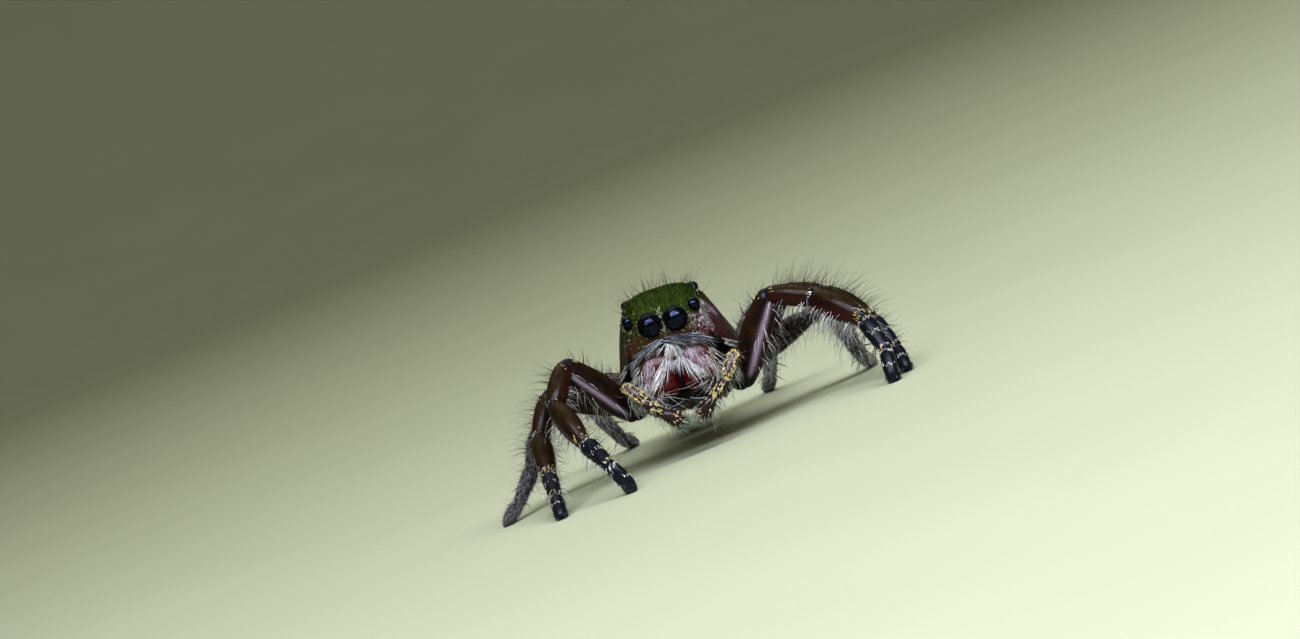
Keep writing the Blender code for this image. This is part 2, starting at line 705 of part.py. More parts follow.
def clear_reach(root, way, reach, others):
    """The reach of a lock, shortened until its outer half clears segments given with their radius."""
    while reach > 0 and any(
        distance_to(root + way * (reach * share), start, end) < radius + GAP + LOCK_HALF_THICK
        for share in (0.5, 0.8, 1.0)
        for start, end, radius in others
    ):
        reach -= 0.1
    return reach


def fringe(start, end, side, half, span, style, rng, others):
    """Locks along the underside of one straight segment, leaning towards the body."""
    along = (end - start).normalized()
    level = (side - along * side.dot(along)).normalized()
    down = along.cross(level)
    if down.z > 0:
        down = -down
    length = (end - start).length * (span[1] - span[0])
    count = max(1, round(length / style.spacing) + 1)
    locks = []
    for i in range(count):
        share = span[0] + (span[1] - span[0]) * (i / max(1, count - 1))
        turn = math.radians(FRINGE_SPREAD) * (1 if i % 2 else -1) + rng.uniform(-0.12, 0.12)
        out = down * math.cos(turn) + level * math.sin(turn)
        root = start.lerp(end, share)
        root += down * (half[0] * math.cos(turn)) + level * (half[1] * math.sin(turn))
        lie = (out * (1 - 0.5 * style.lean) - along * style.lean).normalized()
        reach = style.length * rng.uniform(0.9, 1.12)
        reach = min(reach, (root.z - 0.35) / max(0.2, -out.z))
        reach = clear_reach(root, (out + lie).normalized(), reach, others)
        if reach > 0.5:
            locks.append(lock(root, out, lie, reach))
    return locks


def make_leg(number, side_name):
    """One leg as four nodes that meet in mitred joints: hip, femur, shin and foot."""
    stout = LEG_SIZES[number].stout
    places, ways, sides = leg_points(number, side_name)

    def half(pair, share=1.0):
        return pair[0] * stout * share, pair[1] * stout * share

    def rings(index, profile, pair):
        return segment_rings(places[index], places[index + 1], sides[index], profile, half(pair), LEG_SIDES)

    def joint(index, pair, share):
        up, across_half = half(pair, share)
        return limb_joint(places[index], ways[index - 1], ways[index], sides[index], up, across_half)

    name = f"leg_{number}_{side_name}"
    thigh_joint = joint(1, HIP_HALF, 0.82)
    knee = joint(2, PATELLA_HALF, 0.86)
    mid_shin = joint(3, PATELLA_HALF, 0.90)
    ankle = joint(4, METATARSUS_HALF, 0.98)
    mid_foot = joint(5, METATARSUS_HALF, 0.76)
    cut = GAP / 2

    hip_rings = rings(0, HIP_PROFILE, HIP_HALF)
    hip_rings.append(joint_ring(thigh_joint, -cut, LEG_SIDES))
    add_object(name + "_hip", loft(hip_rings, 0.03), FINISH["leg"], SPIDER)

    femur_rings = [joint_ring(thigh_joint, cut, LEG_SIDES)]
    femur_rings += rings(1, FEMUR_PROFILE, FEMUR_HALF)
    femur_rings.append(joint_ring(knee, -cut, LEG_SIDES))
    femur = add_object(name + "_femur", loft(femur_rings), FINISH["leg"], SPIDER)
    style = FRONT_FRINGE if number < 3 else REAR_FRINGE
    rng = random.Random(name)
    shin_thickness = half(TIBIA_HALF)[0]
    others = [(places[2], places[3], shin_thickness), (places[0], places[1], half(HIP_HALF)[0])]
    locks = fringe(places[1], places[2], sides[1], half(FEMUR_HALF), style.femur, style, rng, others)
    combine(femur, locks, "UNION", LOCK_SOLVER)

    shin_rings = [joint_ring(knee, cut, LEG_SIDES)]
    shin_rings += rings(2, PATELLA_PROFILE, PATELLA_HALF)
    shin_rings.append(joint_ring(mid_shin, 0, LEG_SIDES))
    shin_rings += rings(3, TIBIA_PROFILE, TIBIA_HALF)
    shin_rings.append(joint_ring(ankle, -cut, LEG_SIDES))
    shin = add_object(name + "_shin", loft(shin_rings), FINISH["leg"], SPIDER)
    short = style._replace(length=style.length * PATELLA_FRINGE)
    others = [(places[1], places[2], half(FEMUR_HALF)[0])]
    hair = fringe(places[2], places[3], sides[2], half(PATELLA_HALF), style.patella, short, rng, others)
    hair += fringe(places[3], places[4], sides[3], half(TIBIA_HALF), style.tibia, style, rng, others)
    combine(shin, hair, "UNION", LOCK_SOLVER)

    foot_rings = [joint_ring(ankle, cut, LEG_SIDES)]
    foot_rings += rings(4, METATARSUS_PROFILE, METATARSUS_HALF)
    foot_rings.append(joint_ring(mid_foot, 0, LEG_SIDES))
    foot_rings += rings(5, TARSUS_PROFILE, TARSUS_HALF)
    tip_half = half(TARSUS_HALF)[0]
    for angle in TOE_ANGLES:
        lean, reach = math.cos(math.radians(angle)), math.sin(math.radians(angle))
        level = sides[5]
        up = level.cross(ways[5])
        centre = places[6] + ways[5] * (tip_half * reach * 0.8)
        radius = tip_half * lean * TOE_SHARE
        foot_rings.append(ring(centre, level, up, radius, radius, LEG_SIDES))
    foot = loft(foot_rings, tip_half * 0.06)
    stand_on_floor(foot)
    add_object(name + "_foot", foot, FINISH["foot"], SPIDER)


def stand_on_floor(shape):
    """Cut away what reaches below the floor and close the cut with a small flat."""
    everything = list(shape.verts) + list(shape.edges) + list(shape.faces)
    cut = bmesh.ops.bisect_plane(
        shape, geom=everything, plane_co=(0, 0, 0), plane_no=(0, 0, -1), clear_outer=True
    )
    edges = [item for item in cut["geom_cut"] if isinstance(item, bmesh.types.BMEdge)]
    bmesh.ops.edgeloop_fill(shape, edges=edges)


def swept_rings(path, side, count):
    """Round sections along a path of (x, y, z, half thickness), and the way the path runs at each."""
    places = [Vector(point[:3]) for point in path]
    rings, ways = [], []
    for i, (at, point) in enumerate(zip(places, path)):
        along = (places[min(i + 1, len(places) - 1)] - places[max(i - 1, 0)]).normalized()
        side = (side - along * side.dot(along)).normalized()
        rings.append(ring(at, side, side.cross(along), point[3], point[3], count))
        ways.append(along)
    return rings, ways


def palp_tufts(points, side):
    """Locks that hang from the underside of a palp's last two segments."""
    locks = []
    for index, length in PALP_TUFTS:
        at, half = Vector(points[index][:3]), points[index][3]
        out = Vector((0.35 * side, -0.30 - 0.2 * (index % 2), -0.9)).normalized()
        lie = Vector((-0.15 * side, -0.25, -1)).normalized()
        locks.append(lock(at + out * half, out, lie, length, sink=PALP_TUFT_SINK))
    return locks


def palp_points(side_name):
    """The path of one palp with its half thickness."""
    side = SIDES[side_name]
    if side_name == "left":
        return list(PALP_PATH)
    pairs = zip(PALP_PATH, RIGHT_PALP_SHIFT)
    return [(side * (x - inwards), y, z + up, half) for (x, y, z, half), (inwards, up) in pairs]


def make_palp(side_name):
    """A palp as two nodes that meet at its elbow."""
    side = SIDES[side_name]
    points = palp_points(side_name)
    rings, ways = swept_rings(points, Vector((side, 0.6, 0)), PALP_SIDES)
    cut = ways[PALP_ELBOW] * (GAP / 2)
    upper = rings[:PALP_ELBOW] + [[point - cut for point in rings[PALP_ELBOW]]]
    lower = [[point + cut for point in rings[PALP_ELBOW]]] + rings[PALP_ELBOW + 1 :]
    add_object(f"palp_{side_name}_upper", loft(upper, 0.04), FINISH["leg"], FRONT)
    obj = add_object(f"palp_{side_name}_lower", loft(lower, 0.04), FINISH["leg"], FRONT)
    combine(obj, palp_tufts(points, side), "UNION", LOCK_SOLVER)


def centre_on_floor():
    """Move the model so that its box is centred over the origin."""
    bpy.context.view_layer.update()
    solids = [obj for obj in MODEL.objects if obj.type == "MESH"]
    corners = [obj.matrix_world @ v.co for obj in solids for v in obj.data.vertices]
    for axis in (0, 1):
        values = [corner[axis] for corner in corners]
        SPIDER.location[axis] -= (min(values) + max(values)) / 2


def main():
    """Build every node."""
    make_carapace()
    make_eyes()
    make_jaws()
    make_underside()
    make_abdomen()
    for side_name in SIDES:
        make_palp(side_name)
        for number in LEG_SIZES:
            make_leg(number, side_name)
    centre_on_floor()


SIDES = {"left": 1, "right": -1}
clear_scene()
MODEL = make_collection("jumping_spider")
CUTTERS = make_collection("cutters")
CUTTERS.hide_render = True
FINISH = make_materials()
BODY = body_frame()
SPIDER = make_empty("spider", Matrix())
FRONT = make_empty("front_of_body", BODY, SPIDER)
REAR = make_empty("rear_of_body", abdomen_frame(), SPIDER)
main()
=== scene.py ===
"""Looks of a giant jumping spider at life size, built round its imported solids.

Shapes are worked out in millimetres of the spider's own frame (it looks along -Y, +Z is up and its
left side is +X) and become metres when a piece is made. Every skin is a grid of points laid over a
smooth surface. Hairs and scales are closed slips of mesh rooted on those same skins.
"""

import logging
import math
from collections.abc import Iterable, Iterator, Sequence
from dataclasses import dataclass, field, replace
from enum import Enum, IntEnum

import bpy
import numpy as np
from mathutils import Matrix, Vector


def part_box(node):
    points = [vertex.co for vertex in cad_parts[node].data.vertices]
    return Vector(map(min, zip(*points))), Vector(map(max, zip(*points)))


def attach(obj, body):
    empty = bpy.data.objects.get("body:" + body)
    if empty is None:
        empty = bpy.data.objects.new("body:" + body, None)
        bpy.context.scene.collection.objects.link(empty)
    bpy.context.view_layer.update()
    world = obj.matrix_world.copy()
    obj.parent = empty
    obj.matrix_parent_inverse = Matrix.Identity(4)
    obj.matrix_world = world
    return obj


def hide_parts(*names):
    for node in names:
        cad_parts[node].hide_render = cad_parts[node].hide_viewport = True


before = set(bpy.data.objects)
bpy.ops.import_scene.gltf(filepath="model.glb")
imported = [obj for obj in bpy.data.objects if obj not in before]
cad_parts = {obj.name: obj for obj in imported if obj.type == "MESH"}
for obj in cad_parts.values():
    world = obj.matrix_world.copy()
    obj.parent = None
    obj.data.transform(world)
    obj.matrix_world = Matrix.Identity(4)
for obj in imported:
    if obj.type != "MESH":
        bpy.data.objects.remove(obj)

Array = np.ndarray
Colour = tuple[float, float, float]
Keys = Sequence[tuple[float, ...]]
Way = Sequence[float] | Array
Material = bpy.types.Material
Socket = bpy.types.NodeSocket

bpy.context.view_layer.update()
MM = 0.001
PHOTO_WIDTH = 1300
SEED = 20
COAT_MAP = "OFBake"
PATCH = 0.003  # size of one hair's patch on the coat map
SHOWN_VALUES = ("top", "mark", "bloom", "dark")
LEFTWARDS, BACKWARDS, UPWARDS = np.eye(3)
LOG = logging.getLogger("spider")


class Side(Enum):
    """The two sides of the animal, with the sign of x on each."""

    LEFT = 1
    RIGHT = -1

    @property
    def word(self) -> str:
        """The side as the CAD nodes spell it."""
        return self.name.lower()


class Slip(Enum):
    """What a slip of the coat is: a round hair, or a flat leaf-shaped scale."""

    HAIR = ((90.0, 210.0, 330.0), (1.0, 0.82, 0.62, 0.42, 0.25))
    SCALE = ((0.0, 90.0, 180.0, 270.0), (0.55, 1.0, 0.78))

    @property
    def angles(self) -> Array:
        """Where the corners of its section are, in radians."""
        return np.radians(self.value[0])

    def girth(self, share: Array) -> Array:
        """Width along the slip, as a share of its widest.

        Args:
            share: Places along the slip, 0 at the root.

        Returns:
            The width at each place.
        """
        sizes = self.value[1]
        return np.interp(share, np.linspace(0, 1, len(sizes) + 1), (*sizes, 0.12))


# Numbers


def unit(vectors: Array) -> Array:
    """Vectors scaled to length one."""
    length = np.linalg.norm(vectors, axis=-1, keepdims=True)
    return vectors / np.maximum(length, 1e-12)


def ease(low: float, high: float, at: Array) -> Array:
    """A smooth step from 0 at low to 1 at high."""
    share = np.clip((np.asarray(at, float) - low) / (high - low), 0, 1)
    return share * share * (3 - 2 * share)


def bell(at: Array, middle: float | Array, width: float) -> Array:
    """A bell curve: 1 at its middle, and 0.37 a width away from it."""
    return np.exp(-(((at - middle) / width) ** 2))


def curve(keys: Keys, at: Array) -> Array:
    """A smooth line through keys.

    Args:
        keys: Rows of a position and one or more numbers there.
        at: Positions to read the line at.

    Returns:
        One row of numbers for each position, or single numbers where the keys hold one each.
    """
    table = np.asarray(keys, float)
    x, y = table[:, 0], table[:, 1:]
    slope = np.gradient(y, x, axis=0)
    at = np.clip(np.asarray(at, float), x[0], x[-1])
    i = np.clip(np.searchsorted(x, at, side="right") - 1, 0, len(x) - 2)
    run = (x[i + 1] - x[i])[..., None]
    t = (at - x[i])[..., None] / run
    start, end, go, come = y[i], y[i + 1], slope[i] * run, slope[i + 1] * run
    line = (2 * t**3 - 3 * t**2 + 1) * start + (t**3 - 2 * t**2 + t) * go
    line = line + (3 * t**2 - 2 * t**3) * end + (t**3 - t**2) * come
    return line[..., 0] if y.shape[1] == 1 else line


def dome(share: Array) -> Array:
    """A quarter circle: 0 at 0, and 1 from 1 on."""
    return np.sqrt(np.clip(1 - (1 - np.clip(share, 0, 1)) ** 2, 0, 1))


def carried(matrix: Matrix, points: Array) -> Array:
    """Points moved by a matrix."""
    table = np.array(matrix)
    return points @ table[:3, :3].T + table[:3, 3]


# Shapes


@dataclass
class Shape:
    """A mesh being made: points in millimetres, faces, and numbers or vectors for each point."""

    points: Array
    quads: Array
    tris: Array
    values: dict[str, Array] = field(default_factory=dict)

    def outward(self) -> "Shape":
        """Turn the faces so that they look outwards.

        Returns:
            The same shape.
        """
        corners = [self.points[self.quads[:, i]] for i in (0, 1, 2, 3)]
        volume = np.einsum("ij,ij->", corners[0], np.cross(corners[1], corners[2]))
        volume += np.einsum("ij,ij->", corners[0], np.cross(corners[2], corners[3]))
        if volume < 0:
            self.quads, self.tris = self.quads[:, ::-1], self.tris[:, ::-1]
        return self

    def carried(self, matrix: Matrix) -> "Shape":
        """Move the shape, and turn the vectors in its values along with it.

        Args:
            matrix: The move.

        Returns:
            The moved shape.
        """
        turn = np.array(matrix)[:3, :3].T
        values = {k: v @ turn if k == "way" else v for k, v in self.values.items()}
        return Shape(carried(matrix, self.points), self.quads, self.tris, values)

    @staticmethod
    def joined(shapes: Iterable["Shape"]) -> "Shape":
        """Join shapes that carry the same values.

        Args:
            shapes: The shapes.

        Returns:
            All of them as one.
        """
        shapes = list(shapes)
        starts = np.cumsum([0] + [len(shape.points) for shape in shapes])
        return Shape(
            np.concatenate([shape.points for shape in shapes]),
            np.concatenate([shape.quads + start for shape, start in zip(shapes, starts)]),
            np.concatenate([shape.tris + start for shape, start in zip(shapes, starts)]),
            {k: np.concatenate([shape.values[k] for shape in shapes]) for k in shapes[0].values},
        )


def skin(rows: Array, **values: Array | float) -> Shape:
    """A closed skin over rings of points, with a fan over each end.

    Args:
        rows: Points as (rings, points in a ring, 3).
        values: Numbers or vectors for each point, for each ring or for all of them.

    Returns:
        The skin, facing outwards, with "spot", each point's place on an unwrap, 0 to 1 each way.
    """
    rings, count = rows.shape[:2]
    index = np.arange(rings * count).reshape(rings, count)
    nxt = np.roll(index, -1, axis=1)
    quads = np.stack([index[:-1], nxt[:-1], nxt[1:], index[1:]], axis=-1).reshape(-1, 4)
    first, last = rings * count, rings * count + 1
    tris = [np.stack([nxt[0], index[0], np.full(count, first)], axis=-1)]
    tris.append(np.stack([index[-1], nxt[-1], np.full(count, last)], axis=-1))
    points = np.concatenate([rows.reshape(-1, 3), rows[0].mean(0)[None], rows[-1].mean(0)[None]])
    across, down = np.meshgrid(np.arange(count) / count, np.linspace(0, 1, rings))
    values["spot"] = np.stack([down, across], axis=-1)
    spread = {}
    for name, given in values.items():
        tail = np.shape(given)[-1:] if name in ("way", "spot") else ()
        full = np.broadcast_to(given, (rings, count) + tail).reshape((-1,) + tail)
        spread[name] = np.concatenate([full, full[:1], full[-1:]])
    return Shape(points, quads, np.concatenate(tris), spread).outward()


def oval(centre: Array, side: Array, up: Array, half: Array, angles: Array, square: float = 2.0) -> Array:
    """Rings of an oval section.

    Args:
        centre: Rows of the middle of each ring.
        side, up: The two ways across the rings, in rows or one for all.
        half: Rows of half width and half height, or of one number for both.
        angles: Angles of the points, from side towards up.
        square: 2 for an ellipse and more for a boxier section.

    Returns:
        Points as (rings, angles, 3).
    """
    across, rise = np.cos(angles), np.sin(angles)
    across = np.sign(across) * np.abs(across) ** (2 / square)
    rise = np.sign(rise) * np.abs(rise) ** (2 / square)
    half = np.broadcast_to(half, (len(centre), 2))
    side, up = (np.broadcast_to(way, centre.shape)[:, None] for way in (side, up))
    wide = side * (half[:, :1] * across)[..., None]
    high = up * (half[:, 1:] * rise)[..., None]
    return centre[:, None] + wide + high


def turn_about(count: int) -> Array:
    """Evenly spread angles for a ring of so many points."""
    return 2 * math.pi * np.arange(count) / count


def turned(degrees: float, axis: str) -> Matrix:
    """A turn about an axis of the frame."""
    return Matrix.Rotation(math.radians(degrees), 4, axis)


# Making pieces


@dataclass(frozen=True)
class Stance:
    """How the front of the body and the abdomen are held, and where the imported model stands."""

    body_at: tuple[float, float, float] = (-0.26, -0.10, 5.22)
    body_pitch: float = 6.0
    body_roll: float = 5.5
    abdomen_at: tuple[float, float, float] = (-1.35, 8.75, 4.05)
    abdomen_pitch: float = 19.0
    abdomen_yaw: float = 14.0
    eye_line: tuple[float, float, float] = (0.0, -4.02, 3.13)

    def body(self) -> Matrix:
        """From the body's frame to the spider's."""
        at = Matrix.Translation(self.body_at)
        return at @ turned(self.body_roll, "Y") @ turned(self.body_pitch, "X")

    def abdomen(self) -> Matrix:
        """From the abdomen's frame, tail along +Y, to the spider's."""
        at = Matrix.Translation(self.abdomen_at)
        return at @ turned(self.abdomen_yaw, "Z") @ turned(-self.abdomen_pitch, "X")

    def eyes_in_row(self) -> Vector:
        """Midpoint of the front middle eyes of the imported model, in metres."""
        corners = [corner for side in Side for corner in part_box(f"eye_front_middle_{side.word}")]
        return sum(corners, Vector()) / len(corners)

    def shift(self) -> Array:
        """From the spider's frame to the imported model's, in millimetres."""
        return np.array(self.eyes_in_row() / MM - self.body() @ Vector(self.eye_line))


STANCE = Stance()
BODY = STANCE.body()
REAR = STANCE.abdomen()
SHIFT = STANCE.shift()


def make_mesh(name: str, shape: Shape, coat: bool = False) -> bpy.types.Mesh:
    """Write a shape into a mesh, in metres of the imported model's frame.

    Args:
        name: The mesh's name.
        shape: The shape, in millimetres of the spider's frame.
        coat: Whether it is a coat, with the coat map and tints.

    Returns:
        The mesh, shaded smooth, with the shape's shown values as attributes.
    """
    points = (shape.points + SHIFT) * MM
    points[:, 2] = np.maximum(points[:, 2], 0.0)
    mesh = bpy.data.meshes.new(name)
    mesh.vertices.add(len(points))
    mesh.vertices.foreach_set("co", points.astype(np.float32).ravel())
    corners = np.concatenate([shape.quads.ravel(), shape.tris.ravel()]).astype(np.int32)
    mesh.loops.add(len(corners))
    mesh.loops.foreach_set("vertex_index", corners)
    starts = np.arange(len(shape.quads)) * 4
    starts = np.concatenate([starts, len(shape.quads) * 4 + np.arange(len(shape.tris)) * 3])
    mesh.polygons.add(len(starts))
    mesh.polygons.foreach_set("loop_start", starts.astype(np.int32))
    for value in SHOWN_VALUES:
        if value in shape.values:
            layer = mesh.attributes.new(value, "FLOAT", "POINT")
            layer.data.foreach_set("value", shape.values[value].astype(np.float32))
    if coat:
        tint = np.concatenate([shape.values["tint"], np.ones((len(points), 1))], axis=1)
        layer = mesh.attributes.new("tint", "FLOAT_COLOR", "POINT")
        layer.data.foreach_set("color", tint.astype(np.float32).ravel())
        coat_map = mesh.uv_layers.new(name=COAT_MAP)
        coat_map.data.foreach_set("uv", shape.values["spot"][corners].astype(np.float32).ravel())
    mesh.update(calc_edges=True)
    mesh.validate()
    mesh.shade_smooth()
    return mesh


def make_piece(
    name: str, shape: Shape, material: Material, nodes: Sequence[str] = (), coat: bool = False
) -> None:
    """Make a shape into a piece that rides on the model.

    Args:
        name: The piece's name.
        shape: Its shape, in millimetres of the spider's frame.
        material: Its finish.
        nodes: The CAD nodes it stands for.
        coat: Whether it is a coat.
    """
    mesh = make_mesh(name, shape, coat)
    mesh.materials.append(material)
    piece = bpy.data.objects.new(name, mesh)
    bpy.context.scene.collection.objects.link(piece)
    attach(piece, "root")
    if nodes:
        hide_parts(*nodes)
    LOG.info("%s: %d faces", name, len(mesh.polygons))


# Finishes


class Board:
    """A material's nodes being wired."""

    def __init__(self, name: str) -> None:
        """Start a material that has the one shader.

        Args:
            name: The material's name.
        """
        self.material = bpy.data.materials.new(name)
        self.material.use_nodes = True
        self.tree = self.material.node_tree
        self.shader = self.tree.nodes["Principled BSDF"]
        self.place = self.node("TexCoord").outputs["Object"]

    def node(
        self, kind: str, sockets: dict[str | int, object] | None = None, **settings: object
    ) -> bpy.types.Node:
        """Add a node.

        Args:
            kind: The node's type without its usual start.
            sockets: Inputs to set or to link, by name or number.
            settings: Properties to set.

        Returns:
            The node.
        """
        made = self.tree.nodes.new("ShaderNode" + kind)
        for key, value in settings.items():
            setattr(made, key, value)
        for key, value in (sockets or {}).items():
            self.plug(made.inputs[key], value)
        return made

    def plug(self, socket: Socket, value: object) -> None:
        """Link an output to a socket, or set the socket's own value.

        Args:
            socket: The input.
            value: The output or the value.
        """
        if isinstance(value, Socket):
            self.tree.links.new(value, socket)
        else:
            socket.default_value = value

    def attribute(self, name: str, colour: bool = False) -> Socket:
        """A number or a colour that the mesh carries."""
        return self.node("Attribute", attribute_name=name).outputs["Color" if colour else "Fac"]

    def noise(self, size: float, detail: float = 3.0, stretch: Colour = (1, 1, 1)) -> Socket:
        """Make soft random patches.

        Args:
            size: Their size, in millimetres.
            detail: How many finer layers they have.
            stretch: Scale along each axis.

        Returns:
            The patches, 0 to 1.
        """
        place = self.node("Mapping", {"Vector": self.place, "Scale": stretch}).outputs[0]
        sockets = {"Vector": place, "Scale": 1 / (size * MM), "Detail": detail}
        return self.node("TexNoise", sockets).outputs["Fac"]

    def ranged(self, value: Socket, low: float, high: float, to: tuple[float, float] = (0, 1)) -> Socket:
        """A number mapped smoothly from one range to another."""
        sockets = {0: value, 1: low, 2: high, 3: to[0], 4: to[1]}
        return self.node("MapRange", sockets, interpolation_type="SMOOTHSTEP").outputs[0]

    def sum(self, first: object, second: object, how: str = "ADD") -> Socket:
        """Two numbers worked into one."""
        return self.node("Math", {0: first, 1: second}, operation=how).outputs[0]

    def mix(self, share: object, first: object, second: object) -> Socket:
        """Two colours mixed."""
        first, second = (c if isinstance(c, Socket) else (*c, 1.0) for c in (first, second))
        return self.node("Mix", {0: share, 6: first, 7: second}, data_type="RGBA").outputs[2]

    def finish(
        self,
        colour: object,
        roughness: object,
        bump: Socket | None = None,
        depth: float = 0.01,
        **sockets: object,
    ) -> Material:
        """Set the shader and close the material.

        Args:
            colour, roughness: A value or an output.
            bump: Height of the surface's fine relief, 0 to 1.
            depth: How deep that relief is, in millimetres.
            sockets: Other inputs of the shader, with underscores for spaces.

        Returns:
            The material.
        """
        self.plug(self.shader.inputs["Base Color"], colour)
        self.plug(self.shader.inputs["Roughness"], roughness)
        for key, value in sockets.items():
            self.plug(self.shader.inputs[key.replace("_", " ")], value)
        if bump is not None:
            relief = self.node("Bump", {"Strength": 1.0, "Distance": depth * MM, "Height": bump})
            self.plug(self.shader.inputs["Normal"], relief.outputs["Normal"])
        return self.material


@dataclass(frozen=True)
class Shell:
    """Polished outer shell: deep colour, a lighter tone in soft patches, a tone on its top that is mostly
    painted light from above, and a painted pale violet highlight where the light glances along it."""

    name: str
    deep: Colour
    light: Colour
    upper: Colour
    dark: Colour = (0.006, 0.005, 0.006)
    mark: Colour = (0.10, 0.02, 0.03)
    bloom: Colour = (0.50, 0.38, 0.50)
    roughness: tuple[float, float] = (0.20, 0.38)
    grain: float = 0.055
    depth: float = 0.006
    coat: float = 0.12
    shine: float = 0.22

    def material(self) -> Material:
        """Wire the finish.

        Returns:
            The material.
        """
        board = Board(self.name)
        patches = board.ranged(board.noise(1.1, 4), 0.35, 0.68)
        colour = board.mix(patches, self.deep, self.light)
        # the top tone is painted light from above, mixed in by the top mask
        ragged = board.sum(board.attribute("top"), board.sum(board.noise(0.35, 4), -0.5))
        colour = board.mix(board.ranged(ragged, 0.25, 0.85), colour, self.upper)
        colour = board.mix(board.attribute("mark"), colour, self.mark)
        # painted highlight: a pale violet sheen where the light glances along the shell
        colour = board.mix(board.attribute("bloom"), colour, self.bloom)
        colour = board.mix(board.attribute("dark"), colour, self.dark)
        fine = board.ranged(board.noise(self.grain * 0.6, 2), 0.3, 0.7)
        colour = board.mix(board.ranged(fine, 0, 1, (0.0, 0.30)), colour, self.dark)
        relief = board.sum(board.noise(self.grain, 2), board.sum(board.noise(0.4, 3), 2.5, "MULTIPLY"))
        gloss = board.ranged(board.noise(0.5, 4), 0.3, 0.7, self.roughness)
        sockets = {"Coat_Weight": self.coat, "Coat_Roughness": 0.14, "Specular_IOR_Level": self.shine}
        return board.finish(colour, gloss, relief, self.depth, **sockets)


@dataclass(frozen=True)
class SoftSkin:
    """Dull folded skin between the plates, and the skin of the abdomen under its hair."""

    name: str
    deep: Colour
    light: Colour
    fold: float = 0.16

    def material(self) -> Material:
        """Wire the finish.

        Returns:
            The material.
        """
        board = Board(self.name)
        folds = board.noise(self.fold, 5, (1, 2.5, 1))
        colour = board.mix(board.ranged(folds, 0.3, 0.7), self.deep, self.light)
        rough = board.ranged(folds, 0.2, 0.8, (0.6, 0.85))
        return board.finish(colour, rough, folds, 0.03, Sheen_Weight=0.15)


@dataclass(frozen=True)
class EyeGlass:
    """A wet black lens with a little blue depth."""

    name: str = "eye_lens"
    deep: Colour = (0.0006, 0.0012, 0.0010)
    glint: Colour = (0.0010, 0.0030, 0.0045)
    sheen: tuple[float, float, float, float] = (0.42, 0.52, 1.0, 1.0)

    def material(self) -> Material:
        """Wire the finish.

        Returns:
            The material.
        """
        board = Board(self.name)
        depth = board.ranged(board.noise(0.7, 2), 0.35, 0.75)
        colour = board.mix(depth, self.deep, self.glint)
        waver = board.noise(0.26, 2)
        return board.finish(colour, 0.05, waver, 0.05, Specular_IOR_Level=0.42, Specular_Tint=self.sheen)


@dataclass(frozen=True)
class Horn:
    """Hard glossy horn of the fangs, claws and spines."""

    name: str
    deep: Colour = (0.004, 0.005, 0.009)
    light: Colour = (0.020, 0.024, 0.040)

    def material(self) -> Material:
        """Wire the finish.

        Returns:
            The material.
        """
        board = Board(self.name)
        streaks = board.noise(0.12, 3, (1, 1, 0.3))
        colour = board.mix(board.ranged(streaks, 0.3, 0.8), self.deep, self.light)
        gloss = board.ranged(streaks, 0.2, 0.8, (0.14, 0.3))
        return board.finish(colour, gloss, streaks, 0.004, Coat_Weight=0.6)


@dataclass(frozen=True)
class CoatFinish:
    """Hair or scales that carry their own tint."""

    name: str
    roughness: float = 0.5
    metal: float = 0.0
    shine: float = 0.12

    def material(self) -> Material:
        """Wire the finish.

        Returns:
            The material.
        """
        board = Board(self.name)
        tint = board.attribute("tint", colour=True)
        uneven = board.ranged(board.noise(0.22, 3), 0.25, 0.75, (0.0, 0.35))
        colour = board.mix(uneven, tint, (0.0, 0.0, 0.0))
        streaks = board.noise(0.03, 2, (1, 1, 0.2))
        return board.finish(
            colour, self.roughness, streaks, 0.003, Metallic=self.metal, Specular_IOR_Level=self.shine
        )


